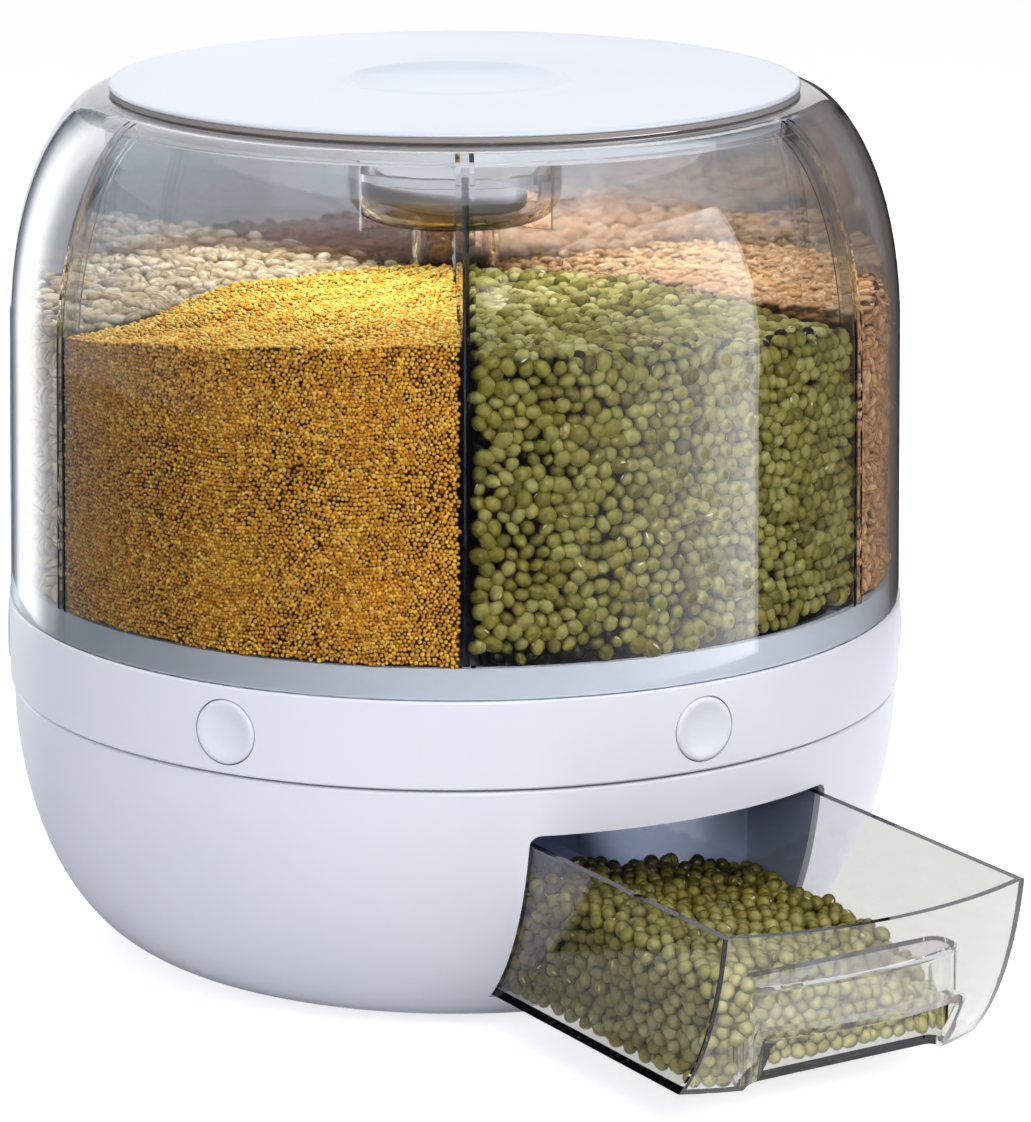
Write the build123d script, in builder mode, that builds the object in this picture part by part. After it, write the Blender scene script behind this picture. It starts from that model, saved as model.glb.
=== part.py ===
from build123d import *
import os
from math import asin, cos, degrees, radians, sin

os.makedirs("parts", exist_ok=True)

# Rotating six-compartment grain dispenser, in millimetres.
# The origin is the middle of the footprint on the table, +Z is up, and the drawer opens towards -Y.

# General fits
seat_gap = 0.3              # loose fit between neighbouring pieces
slide_gap = 0.5             # sliding fit, each side
running_gap = 0.06          # radial clearance of the drum on its pivot
overlap = 1.0               # how far joined shapes run into each other
compartments = 6
sector = 360 / compartments
front_angle = -90           # direction of the front compartment, from +X

# Base bowl
foot_height = 1.5           # the pads lift the bowl this far off the table
base_radius = 129.0
base_roll = 40.0            # from the widest part of the bowl in to its flat bottom
base_top = 77.0
base_wall = 2.5
flange_width = 9.0          # rim round the opening in the bottom of the bowl
base_edge = 0.8             # round on the bowl's rim, along the seam
deck_drop = 11.0            # from the bowl's rim down to the underside of the deck
deck_thickness = 2.5
deck_edge_gap = 0.8
ledge_width = 5.0
ledge_depth = 4.5

# Floor plate, pads and screws
floor_thickness = 2.0
floor_edge_gap = 0.6
pad_radius = 8.0
pad_thickness = 3.0
pad_inset = 23.0            # from the edge of the flat bottom in to the pads
pad_count = 4
spot_angle = 45             # direction of the first pad and the first floor screw
floor_screw_count = 4
screw_pilot = 1.2
screw_clearance = 1.7
screw_head_radius = 2.9
screw_head_height = 1.6
screw_boss_radius = 4.0
screw_boss_height = 6.0
post_radius = 4.5
post_x = 62.0
post_y = 42.0
rear_post_y = 74.0
deck_screw_length = 10.0

# Drawer and its bay
drawer_width = 96.2
drawer_bottom = 13.0
drawer_height = 48.0
drawer_wall = 2.2
drawer_back = 8.0           # back of the closed drawer, behind the axis
drawer_pull = 91.0          # how far the drawer stands open
drawer_corner = 3.0
bay_side_gap = 0.7
bay_head_gap = 3.0
bay_foot_gap = 0.7
bay_corner = 3.0
runner_width = 8.0
runner_x = 38.0
guide_wall = 2.0
guide_foot_width = 6.0
guide_foot_length = 50.0

# Finger pocket inside the drawer's front, and the arched way into it
pocket_half = 34.0
pocket_radius = 114.5       # its bowed front face, from the axis of the closed drawer
pocket_back = 99.6
pocket_top = 43.0
pocket_wall = 2.0
pocket_corner = 4.5
arch_half = 30.0
arch_top = 30.0
arch_wall = 2.2
arch_corner = 3.0

# Drop window and pivot in the deck
outlet_radius = 90.0        # middle of each outlet, from the axis
outlet_length = 10.0        # radial
outlet_width = 34.0
window_margin = 4.0
chute_wall = 1.6
chute_drop = 4.0
pivot_radius = 4.0
pivot_head_radius = 7.0
pivot_head_height = 3.2
pivot_head_chamfer = 1.0
pivot_tail = 1.5            # thread that stands out of the nut
hub_radius = 10.0
deck_hub_height = 3.2
hub_rise = 3.8              # the drum's hub above the guide plate
washer_radius = 9.5
washer_thickness = 1.5
nut_height = 6.5
nut_across_flats = 13.0

# Ball race
race_inset = 13.0           # from the bowl's outside in to the middle of the race
race_width = 9.0
ball_radius = 3.0
ball_count = 12
channel_width = 6.6
race_height = 3.0
channel_depth = 1.5
race_clearance = 0.05
cage_width = 8.0
cage_thickness = 2.0
cage_lift = 0.5

# Button ring and gates
ring_proud = 1.0            # how far the ring stands out past the bowl
ring_wall = 2.5
ring_seam = 0.8             # gap between the base and the ring
ring_height = 24.7
ring_edge = 0.8             # round on the ring's outer edges
plate_rise = 0.4            # from the ring's foot up to the underside of the guide plate
plate_thickness = 2.0
button_radius = 9.0
button_rise = 11.8          # from the ring's foot up to the middle of the buttons
button_length = 5.6
button_proud = 0.4
button_face = 1.6
button_skirt = 1.5
button_boss = 4.0
button_dish_radius = 7.4
button_dish_floor = 5.3
button_dish_depth = 0.7
button_gap = 0.3
button_travel = 10.0
gate_thickness = 2.0
gate_rise = 5.8             # from the guide plate up to the gates
gate_width = 41.0
gate_lap = 0.8              # how far the closed gate reaches past the outlet
gate_inner = 72.0
gate_tongue = 10.0
rail_wall = 2.0
rail_ledge = 2.4
rail_inner = 58.0
rail_outer = 100.0
rail_gap = 0.4
spring_post = 4.0
spring_post_width = 8.8
spring_post_rise = 1.5
spring_length = 18.0
spring_radius = 3.0
spring_bore = 2.2
spring_pin = 1.8
guide_screw_inset = 12.0    # from the race in to the guide screws
tab_width = 12.0
tab_thickness = 2.0
guide_screw_length = 12.0

# Hopper tray
collar_rise = 8.5           # the collar inside the barrel above the ring
collar_wall = 2.0
collar_gap = 0.4            # between the collar and the barrel
skirt_depth = 2.5
web_drop = 2.0
web_thickness = 2.0
ridge_half = 2.5
funnel_inner = 17.0
funnel_rim = 1.2
funnel_wall = 2.0
funnel_skin = 1.6           # wall of the sloping part
outlet_rise = 2.0           # from the gates up to the mouth of the outlets
tray_hub_wall = 2.5
tray_hub_gap = 0.5

# Clear barrel
barrel_wall = 2.5
barrel_setback = 0.5        # how far the barrel's foot stands back from the ring
barrel_taper = 1.3
shoulder_height = 180.0
shoulder_reach = 33.9       # across the rounded shoulder, half its ellipse
shoulder_over = 2.7         # how far the ellipse would carry on above the flat rim
shoulder_blend = 14.0       # round between the shoulder and the flat rim
barrel_top = 248.0
mouth_inset = 31.0          # from the shoulder in to the mouth
rib_thickness = 1.3
rib_depth = 4.0

# Partition boards, column and moisture bowl
board_thickness = 1.8
slot_gap = 0.3
board_edge_gap = 0.6
board_outer_drop = 8.0      # from the barrel's rim down to the boards, at their outer end
board_inner_drop = 18.0
board_corner = 5.0
column_radius = 13.5
column_wall = 2.5
bowl_radius = 31.0
bowl_drop = 38.0            # from the barrel's rim down to the bottom of the bowl
bowl_height = 17.0
bowl_wall = 2.2
bowl_corner = 10.0
bowl_rim_width = 4.6
bowl_rim_height = 3.0
packet_radius = 24.0
packet_thickness = 6.0
packet_wall = 1.2
packet_corner = 1.5
packet_tilt = 6.0
packet_shift = 3.6
packet_lift = 3.2
packet_side = 150           # the raised edge leans towards this direction, from +X

# Lid
lid_lap = 1.6               # how far the lid reaches past the mouth
lid_thickness = 1.5
gasket_thickness = 1.3
gasket_reach = 2.2          # how far the gasket reaches in past the mouth
gasket_inset = 0.4
lid_dish_radius = 30.0
lid_dish_floor = 23.5
lid_dish_depth = 2.4
lid_bead_width = 2.0
lid_bead_rise = 0.5
lid_pan_gap = 0.5
lid_pan_depth = 7.3
lid_pan_wall = 1.6

# Heights and radii that follow from the sizes above
foot_radius = base_radius - base_roll
flange_radius = foot_radius - flange_width
floor_screw_ring = foot_radius - flange_width / 2
pad_ring_radius = foot_radius - pad_inset
flange_top = foot_height + base_wall
floor_top = flange_top + floor_thickness
deck_height = base_top - deck_drop
deck_top = deck_height + deck_thickness
deck_radius = base_radius - base_wall - deck_edge_gap
drawer_half = drawer_width / 2
drawer_top = drawer_bottom + drawer_height
bay_half = drawer_half + bay_side_gap
bay_bottom = drawer_bottom - bay_foot_gap
bay_top = drawer_top + bay_head_gap
ring_radius = base_radius + ring_proud
ring_bottom = base_top + ring_seam
ring_top = ring_bottom + ring_height
button_height = ring_bottom + button_rise
plate_height = ring_bottom + plate_rise
plate_top = plate_height + plate_thickness
hub_top = plate_top + hub_rise
plate_radius = ring_radius - ring_wall - seat_gap
race_radius = base_radius - race_inset
guide_screw_ring = race_radius - guide_screw_inset
channel_floor = deck_top + race_height - channel_depth
ball_height = channel_floor + race_clearance + ball_radius
channel_ceiling = ball_height + ball_radius + seat_gap
upper_race_foot = channel_ceiling - channel_depth
cage_foot = deck_top + race_height + cage_lift
gate_height = plate_top + gate_rise
gate_top = gate_height + gate_thickness
outlet_height = gate_top + outlet_rise
neck_foot = gate_top + seat_gap
gate_outer = outlet_radius + outlet_length / 2 + gate_lap
button_back = ring_radius + button_proud - button_length
barrel_foot_radius = ring_radius - barrel_setback
shoulder_radius = barrel_foot_radius - barrel_taper
shoulder_rise = barrel_top - shoulder_height + shoulder_over
mouth_radius = shoulder_radius - mouth_inset
collar_radius = barrel_foot_radius - barrel_wall - collar_gap
collar_top = ring_top + collar_rise
web_top = collar_top - web_drop
board_outer_top = barrel_top - board_outer_drop
board_inner_top = barrel_top - board_inner_drop
bowl_bottom = barrel_top - bowl_drop
lid_radius = mouth_radius + lid_lap
lid_floor = barrel_top + gasket_thickness
lid_top = lid_floor + lid_thickness
gasket_inner = mouth_radius - gasket_reach
lid_pan_radius = gasket_inner - lid_pan_gap
post_spots = [(post_x, post_y), (-post_x, post_y), (post_x, -post_y), (-post_x, -post_y), (0, rear_post_y)]


def radial_plane(angle):
    """Upright plane through the axis: its X runs outwards at this angle, its Y runs up."""
    c = cos(radians(angle))
    s = sin(radians(angle))
    return Plane(origin=(0, 0, 0), x_dir=(c, s, 0), z_dir=(s, -c, 0))


def compartment_angle(index):
    return front_angle + sector * index


def wall_angle(index):
    return front_angle + sector * (index + 0.5)


def bowl_solid(inset):
    """The bowl's outline as a solid, drawn this far inside its outer face."""
    reach = base_radius - foot_radius - inset
    rise = base_top - foot_height - inset
    with BuildPart() as solid:
        with BuildSketch(Plane.XZ):
            with BuildLine():
                bottom = Line((0, base_top - rise), (foot_radius, base_top - rise))
                centre = (foot_radius, base_top)
                side = EllipticalCenterArc(centre, reach, rise, start_angle=-90, arc_size=90)
                Polyline(side @ 1, (0, base_top), bottom @ 0)
            make_face()
        revolve(axis=Axis.Z)
    return solid.part


def ring_solid(inner, outer, bottom, top):
    with BuildPart() as ring:
        with BuildSketch(Plane.XY.offset(bottom)):
            Circle(outer)
            Circle(inner, mode=Mode.SUBTRACT)
        extrude(amount=top - bottom)
    return ring.part


def race_solid(foot, height, channel_up):
    """Ring with a ball channel in its top or bottom face."""
    with BuildPart() as race:
        with BuildSketch(Plane.XY.offset(foot)):
            Circle(race_radius + race_width / 2)
            Circle(race_radius - race_width / 2, mode=Mode.SUBTRACT)
        extrude(amount=height)
        channel_foot = foot + height - channel_depth if channel_up else foot
        with BuildSketch(Plane.XY.offset(channel_foot)):
            Circle(race_radius + channel_width / 2)
            Circle(race_radius - channel_width / 2, mode=Mode.SUBTRACT)
        extrude(amount=channel_depth, mode=Mode.SUBTRACT)
    return race.part


def finish(part, label):
    part.label = label
    export_step(part, f"parts/{label}.step")


# Base bowl: a rounded shell with a bottom flange, a deck ledge and the drawer's opening
with BuildPart() as base_shell:
    add(bowl_solid(0))
    add(bowl_solid(base_wall), mode=Mode.SUBTRACT)
    fillet(base_shell.edges().group_by(Axis.Z)[-1].sort_by(SortBy.RADIUS)[-1], base_edge)
    with BuildSketch(Plane.XY):
        Circle(flange_radius)
    extrude(amount=flange_top, mode=Mode.SUBTRACT)
    ledge_outer = deck_radius + base_wall / 2
    with BuildSketch(Plane.XZ):
        with BuildLine():
            Polyline(
                (deck_radius - ledge_width, deck_height),
                (ledge_outer, deck_height),
                (ledge_outer, deck_height - ledge_depth - base_wall),
                (deck_radius, deck_height - ledge_depth),
                close=True,
            )
        make_face()
    revolve(axis=Axis.Z)
    with BuildSketch(Plane.XZ) as opening:
        with Locations((0, (bay_bottom + bay_top) / 2)):
            Rectangle(2 * bay_half, bay_top - bay_bottom)
        fillet(opening.vertices().group_by(Axis.Y)[-1], bay_corner)
    extrude(amount=base_radius + ledge_width, mode=Mode.SUBTRACT)
    with Locations(Plane(origin=(0, 0, foot_height), z_dir=(0, 0, -1))):
        with PolarLocations(floor_screw_ring, floor_screw_count, start_angle=spot_angle):
            CounterSinkHole(screw_clearance, screw_head_radius + seat_gap, depth=base_wall)
finish(base_shell.part, "base_shell")

# Floor plate: closes the bottom, carries the drawer's runners and the posts under the deck
with BuildPart() as base_floor:
    with BuildSketch(Plane.XY.offset(foot_height)):
        Circle(flange_radius - seat_gap)
    extrude(amount=base_wall)
    with BuildSketch(Plane.XY.offset(flange_top)):
        Circle(foot_radius - floor_edge_gap)
    extrude(amount=floor_thickness)
    runner_top = drawer_bottom - seat_gap
    runner_front = foot_radius - floor_edge_gap - runner_width
    with BuildSketch(Plane.XY.offset(floor_top)):
        for side in (-1, 1):
            with Locations((side * runner_x, (drawer_back - runner_front) / 2)):
                Rectangle(runner_width, drawer_back + runner_front)
    extrude(amount=runner_top - floor_top)
    with BuildSketch(Plane.XY.offset(floor_top)):
        with Locations(*post_spots):
            Circle(post_radius)
    extrude(amount=deck_height - floor_top)
    with BuildSketch(Plane.XY.offset(floor_top)):
        with PolarLocations(floor_screw_ring, floor_screw_count, start_angle=spot_angle):
            Circle(screw_boss_radius)
    extrude(amount=screw_boss_height)
    with BuildSketch(Plane.XY.offset(deck_height)):
        with Locations(*post_spots):
            Circle(screw_pilot)
    extrude(amount=-deck_screw_length, mode=Mode.SUBTRACT)
    with BuildSketch(Plane.XY.offset(flange_top)):
        with PolarLocations(floor_screw_ring, floor_screw_count, start_angle=spot_angle):
            Circle(screw_pilot)
    extrude(amount=floor_thickness + screw_boss_height - seat_gap, mode=Mode.SUBTRACT)
    with BuildSketch(Plane.XY.offset(foot_height)):
        Circle(pad_radius + seat_gap)
        with PolarLocations(pad_ring_radius, pad_count, start_angle=spot_angle):
            Circle(pad_radius + seat_gap)
    extrude(amount=pad_thickness - foot_height, mode=Mode.SUBTRACT)
finish(base_floor.part, "base_floor")

# Rubber pads, one of them under the pivot
with BuildPart() as rubber_pads:
    with BuildSketch(Plane.XY):
        Circle(pad_radius)
        with PolarLocations(pad_ring_radius, pad_count, start_angle=spot_angle):
            Circle(pad_radius)
    extrude(amount=pad_thickness)
finish(rubber_pads.part, "rubber_pads")

# Screws that hold the floor plate, countersunk into the flange
standing = (Align.CENTER, Align.CENTER, Align.MIN)
floor_screw_length = flange_top + floor_thickness + screw_boss_height / 2 - foot_height
with BuildPart() as floor_screws:
    with Locations(Plane.XY.offset(foot_height)):
        with PolarLocations(floor_screw_ring, floor_screw_count, start_angle=spot_angle):
            Cone(screw_head_radius, screw_pilot, screw_head_height, align=standing)
            Cylinder(screw_pilot, floor_screw_length, align=standing)
finish(floor_screws.part, "floor_screws")

# Drawer guide: two side walls and a back stop round the bay
with BuildPart() as drawer_guide:
    guide_half = drawer_half + slide_gap
    foot_x = guide_half + (guide_wall + guide_foot_width) / 2
    guide_back = drawer_back + slide_gap
    with BuildSketch(Plane.XY.offset(floor_top)):
        with BuildLine():
            Polyline(
                (-guide_half - guide_wall, -base_radius),
                (-guide_half - guide_wall, guide_back + guide_wall),
                (guide_half + guide_wall, guide_back + guide_wall),
                (guide_half + guide_wall, -base_radius),
                (guide_half, -base_radius),
                (guide_half, guide_back),
                (-guide_half, guide_back),
                (-guide_half, -base_radius),
                close=True,
            )
        make_face()
    extrude(amount=drawer_top - floor_top)
    with BuildSketch(Plane.XY.offset(floor_top)):
        for side in (-1, 1):
            with Locations((side * foot_x, -guide_foot_length / 2)):
                Rectangle(guide_wall + guide_foot_width, guide_foot_length)
    extrude(amount=floor_thickness)
    add(bowl_solid(base_wall + seat_gap), mode=Mode.INTERSECT)
    with BuildSketch(Plane.XY.offset(floor_top)):
        with Locations(*post_spots):
            Circle(post_radius + seat_gap)
        with PolarLocations(floor_screw_ring, floor_screw_count, start_angle=spot_angle):
            Circle(screw_boss_radius + seat_gap)
    extrude(amount=deck_height - floor_top, mode=Mode.SUBTRACT)
finish(drawer_guide.part, "drawer_guide")

# Deck: covers the base, with the drop window over the drawer, the lower ball race and the pivot hole
window_length = outlet_length + 2 * window_margin
window_width = outlet_width + 2 * window_margin
with BuildPart() as base_deck:
    with BuildSketch(Plane.XY.offset(deck_height)):
        Circle(deck_radius)
    extrude(amount=deck_thickness)
    with BuildSketch(Plane.XY.offset(deck_height - chute_drop)):
        with Locations((0, -outlet_radius)):
            Rectangle(window_width + 2 * chute_wall, window_length + 2 * chute_wall)
    extrude(amount=chute_drop)
    add(race_solid(deck_top, race_height, True))
    with BuildSketch(Plane.XY.offset(deck_top)):
        Circle(hub_radius)
    extrude(amount=deck_hub_height)
    with BuildSketch(Plane.XY.offset(deck_height - chute_drop)):
        with Locations((0, -outlet_radius)):
            Rectangle(window_width, window_length)
        with Locations(*post_spots):
            Circle(screw_clearance)
        Circle(pivot_radius + running_gap)
    extrude(amount=chute_drop + deck_thickness + deck_hub_height, mode=Mode.SUBTRACT)
finish(base_deck.part, "base_deck")

# Screws that hold the deck on its posts
with BuildPart() as deck_screws:
    with BuildSketch(Plane.XY.offset(deck_top)):
        with Locations(*post_spots):
            Circle(screw_head_radius)
    extrude(amount=screw_head_height)
    with BuildSketch(Plane.XY.offset(deck_top)):
        with Locations(*post_spots):
            Circle(screw_pilot)
    extrude(amount=-deck_screw_length)
finish(deck_screws.part, "deck_screws")

# Pivot bolt, its washer and its nut
with BuildPart() as pivot_bolt:
    with BuildSketch(Plane.XY.offset(deck_height)):
        Circle(pivot_head_radius)
    extrude(amount=-pivot_head_height)
    chamfer(pivot_bolt.edges().group_by(Axis.Z)[0], pivot_head_chamfer)
    with BuildSketch(Plane.XY.offset(deck_height)):
        Circle(pivot_radius)
    extrude(amount=hub_top + seat_gap + washer_thickness + nut_height + pivot_tail - deck_height)
finish(pivot_bolt.part, "pivot_bolt")

with BuildPart() as pivot_washer:
    with BuildSketch(Plane.XY.offset(hub_top + seat_gap)):
        Circle(washer_radius)
        Circle(pivot_radius + running_gap, mode=Mode.SUBTRACT)
    extrude(amount=washer_thickness)
finish(pivot_washer.part, "pivot_washer")

with BuildPart() as pivot_nut:
    with BuildSketch(Plane.XY.offset(hub_top + seat_gap + washer_thickness)):
        RegularPolygon(nut_across_flats / 2, 6, major_radius=False)
        Circle(pivot_radius + running_gap, mode=Mode.SUBTRACT)
    extrude(amount=nut_height)
finish(pivot_nut.part, "pivot_nut")

# Ball cage and balls between the deck and the drum
with BuildPart() as ball_cage:
    with BuildSketch(Plane.XY.offset(cage_foot)):
        Circle(race_radius + cage_width / 2)
        Circle(race_radius - cage_width / 2, mode=Mode.SUBTRACT)
        with PolarLocations(race_radius, ball_count):
            Circle(ball_radius + seat_gap, mode=Mode.SUBTRACT)
    extrude(amount=cage_thickness)
finish(ball_cage.part, "ball_cage")

with BuildPart() as bearing_balls:
    with Locations((0, 0, ball_height)):
        with PolarLocations(race_radius, ball_count):
            Sphere(ball_radius)
finish(bearing_balls.part, "bearing_balls")

# Button ring: the wide band round the drum, with six button holes and six screw tabs
ring_inner = ring_radius - ring_wall
tab_inner = guide_screw_ring - tab_width / 2
with BuildPart() as button_ring:
    with BuildSketch(Plane.XY.offset(ring_bottom)):
        Circle(ring_radius)
        Circle(ring_inner, mode=Mode.SUBTRACT)
    extrude(amount=ring_height)
    fillet(button_ring.edges().filter_by(GeomType.CIRCLE).sort_by(SortBy.RADIUS)[-2:], ring_edge)
    with BuildSketch(Plane.XY.offset(plate_top)):
        with PolarLocations(0, compartments, start_angle=wall_angle(0)):
            with Locations(((tab_inner + ring_inner + overlap) / 2, 0)):
                Rectangle(ring_inner + overlap - tab_inner, tab_width)
        with PolarLocations(guide_screw_ring, compartments, start_angle=wall_angle(0)):
            Circle(screw_clearance, mode=Mode.SUBTRACT)
    extrude(amount=tab_thickness)
    for n in range(compartments):
        side = radial_plane(compartment_angle(n))
        hole_start = side.x_dir * (ring_inner - overlap) + Vector(0, 0, button_height)
        with BuildSketch(Plane(origin=hole_start, z_dir=side.x_dir)):
            Circle(button_radius + button_gap)
        extrude(amount=ring_wall + 2 * overlap, mode=Mode.SUBTRACT)
finish(button_ring.part, "button_ring")

# Gate guide plate: the drum's underside, with the upper race, the hub, rails for the gates and spring posts
rail_inside = gate_width / 2 + rail_gap
post_inner = gate_inner - spring_length - spring_post
with BuildPart() as gate_guide:
    with BuildSketch(Plane.XY.offset(plate_height)):
        Circle(plate_radius)
        with PolarLocations(outlet_radius, compartments, start_angle=front_angle):
            Rectangle(outlet_length + window_margin, outlet_width + window_margin / 2, mode=Mode.SUBTRACT)
    extrude(amount=plate_thickness)
    add(race_solid(upper_race_foot, plate_height - upper_race_foot, False))
    hub_foot = deck_top + deck_hub_height + seat_gap
    with BuildSketch(Plane.XY.offset(hub_foot)):
        Circle(hub_radius)
    extrude(amount=hub_top - hub_foot)
    for n in range(compartments):
        side = radial_plane(compartment_angle(n))
        rail_plane = Plane(origin=side.x_dir * rail_inner, x_dir=-side.z_dir, z_dir=side.x_dir)
        with BuildSketch(rail_plane) as rails:
            with BuildLine():
                Polyline(
                    (rail_inside - rail_ledge, plate_top - overlap),
                    (rail_inside - rail_ledge, gate_height - seat_gap),
                    (rail_inside, gate_height - seat_gap),
                    (rail_inside, gate_top),
                    (rail_inside + rail_wall, gate_top),
                    (rail_inside + rail_wall, plate_top - overlap),
                    close=True,
                )
            make_face()
            mirror(about=Plane.YZ)
        extrude(amount=rail_outer - rail_inner)
        with BuildSketch(Plane.XY.offset(plate_top)):
            with PolarLocations(post_inner + spring_post / 2, 1, start_angle=compartment_angle(n)):
                Rectangle(spring_post, spring_post_width)
        extrude(amount=gate_top + spring_post_rise - plate_top)
        pin_plane = Plane(
            origin=side.x_dir * (post_inner + spring_post) + Vector(0, 0, gate_height + gate_thickness / 2),
            z_dir=side.x_dir,
        )
        with BuildSketch(pin_plane):
            Circle(spring_pin)
        extrude(amount=spring_length - button_travel - seat_gap)
    with BuildSketch(Plane.XY.offset(hub_foot)):
        Circle(pivot_radius + running_gap)
    extrude(amount=hub_top - hub_foot, mode=Mode.SUBTRACT)
    with BuildSketch(Plane.XY.offset(plate_height)):
        with PolarLocations(guide_screw_ring, compartments, start_angle=wall_angle(0)):
            Circle(screw_clearance)
    extrude(amount=plate_thickness, mode=Mode.SUBTRACT)
finish(gate_guide.part, "gate_guide")

# Screws that clamp the guide plate and the ring's tabs to the tray
with BuildPart() as guide_screws:
    with BuildSketch(Plane.XY.offset(plate_height)):
        with PolarLocations(guide_screw_ring, compartments, start_angle=wall_angle(0)):
            Circle(screw_head_radius)
    extrude(amount=-screw_head_height)
    with BuildSketch(Plane.XY.offset(plate_height)):
        with PolarLocations(guide_screw_ring, compartments, start_angle=wall_angle(0)):
            Circle(screw_pilot)
    extrude(amount=guide_screw_length)
finish(guide_screws.part, "guide_screws")

# Return springs behind the gates
with BuildPart() as gate_springs:
    for n in range(compartments):
        side = radial_plane(compartment_angle(n))
        spring_middle = Vector(0, 0, gate_height + gate_thickness / 2)
        spring_start = side.x_dir * (gate_inner - spring_length) + spring_middle
        with BuildSketch(Plane(origin=spring_start, z_dir=side.x_dir)):
            Circle(spring_radius)
            Circle(spring_bore, mode=Mode.SUBTRACT)
        extrude(amount=spring_length)
finish(gate_springs.part, "gate_springs")

# Buttons and gates, one pair for each compartment
tongue_start = gate_outer - overlap
for n in range(compartments):
    side = radial_plane(compartment_angle(n))
    back_plane = Plane(origin=side.x_dir * button_back + Vector(0, 0, button_height), z_dir=side.x_dir)
    with BuildPart() as button:
        with BuildSketch(back_plane):
            Circle(button_radius)
            Circle(button_radius - button_skirt, mode=Mode.SUBTRACT)
            Circle(button_boss)
        extrude(amount=button_length)
        with BuildSketch(back_plane.offset(button_length)):
            Circle(button_radius)
        extrude(amount=-button_face)
        rim_edge = button.faces().sort_by(Axis(back_plane.origin, side.x_dir))[-1].edges()
        fillet(rim_edge, button_face / 2)
        with Locations(back_plane.offset(button_length - button_dish_depth)):
            Cone(
                button_dish_floor,
                button_dish_radius,
                button_dish_depth,
                align=standing,
                mode=Mode.SUBTRACT,
            )
    finish(button.part, f"button_{n + 1}")

    with BuildPart() as gate:
        with BuildSketch(Plane.XY.offset(gate_height)):
            with PolarLocations((gate_inner + gate_outer) / 2, 1, start_angle=compartment_angle(n)):
                Rectangle(gate_outer - gate_inner, gate_width)
            with PolarLocations((tongue_start + button_back) / 2, 1, start_angle=compartment_angle(n)):
                Rectangle(button_back - tongue_start, gate_tongue)
        extrude(amount=gate_thickness)
    finish(gate.part, f"gate_{n + 1}")


def sector_face(plane, inner, outer, margin):
    """One compartment's outline at this plane, along its X, kept clear of the partition lines."""
    half = sector / 2
    inner_half = half - degrees(asin(margin / inner))
    outer_half = half - degrees(asin(margin / outer))
    with BuildSketch(plane) as face:
        with BuildLine():
            far = CenterArc((0, 0), outer, -outer_half, 2 * outer_half)
            near = CenterArc((0, 0), inner, -inner_half, 2 * inner_half)
            Line(far @ 0, near @ 0)
            Line(far @ 1, near @ 1)
        make_face()
    return face.sketch


def funnel_solid(grow):
    """A compartment's funnel down to its outlet, grown by a wall."""
    mouth_plane = Plane.XY.offset(web_top - grow)
    with BuildPart() as funnel:
        add(sector_face(mouth_plane, funnel_inner - grow, funnel_outer + grow, ridge_half - grow))
        with BuildSketch(Plane.XY.offset(outlet_height - grow)):
            with Locations((outlet_radius, 0)):
                Rectangle(outlet_length + 2 * grow, outlet_width + 2 * grow)
        loft(ruled=True)
    return funnel.part


# Hopper tray: collar, ridges under the partitions and six funnels
funnel_outer = collar_radius - collar_wall - funnel_rim
tray_hub_bore = hub_radius + tray_hub_gap
funnel_cavity = funnel_solid(0)
funnel_shell = funnel_solid(funnel_skin)
with BuildPart() as hopper_tray:
    add(ring_solid(collar_radius - collar_wall, collar_radius, ring_top, collar_top))
    add(ring_solid(collar_radius - collar_wall, plate_radius, ring_top - skirt_depth, ring_top))
    with BuildSketch(Plane.XY.offset(web_top - web_thickness)):
        Circle(collar_radius)
    extrude(amount=web_thickness)
    with PolarLocations(0, compartments, start_angle=front_angle):
        add(funnel_shell)
    with BuildSketch(Plane.XY.offset(neck_foot)):
        with PolarLocations(outlet_radius, compartments, start_angle=front_angle):
            Rectangle(outlet_length + 2 * funnel_wall, outlet_width + 2 * funnel_wall)
    extrude(amount=outlet_height - neck_foot + funnel_wall)
    boss_foot = plate_top + tab_thickness
    with BuildSketch(Plane.XY.offset(boss_foot)):
        with PolarLocations(guide_screw_ring, compartments, start_angle=wall_angle(0)):
            Circle(screw_boss_radius)
    extrude(amount=web_top - web_thickness - boss_foot)
    with BuildSketch(Plane.XY.offset(plate_top)):
        Circle(tray_hub_bore + tray_hub_wall)
        Circle(tray_hub_bore, mode=Mode.SUBTRACT)
    extrude(amount=web_top - plate_top)
    with PolarLocations(0, compartments, start_angle=front_angle):
        add(funnel_cavity, mode=Mode.SUBTRACT)
    with BuildSketch(Plane.XY.offset(neck_foot)):
        with PolarLocations(outlet_radius, compartments, start_angle=front_angle):
            Rectangle(outlet_length, outlet_width)
    extrude(amount=outlet_height - neck_foot + overlap / 2, mode=Mode.SUBTRACT)
    with BuildSketch(Plane.XY.offset(plate_top)):
        Circle(tray_hub_bore)
    extrude(amount=web_top - web_thickness - plate_top, mode=Mode.SUBTRACT)
    with BuildSketch(Plane.XY.offset(boss_foot)):
        with PolarLocations(guide_screw_ring, compartments, start_angle=wall_angle(0)):
            Circle(screw_pilot)
    extrude(amount=guide_screw_length, mode=Mode.SUBTRACT)
finish(hopper_tray.part, "hopper_tray")


def shoulder_angle(inset, height):
    """Where a curve drawn this far inside the barrel's outline reaches this height, on its ellipse."""
    return degrees(asin((height - shoulder_height) / (shoulder_rise - inset)))


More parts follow.
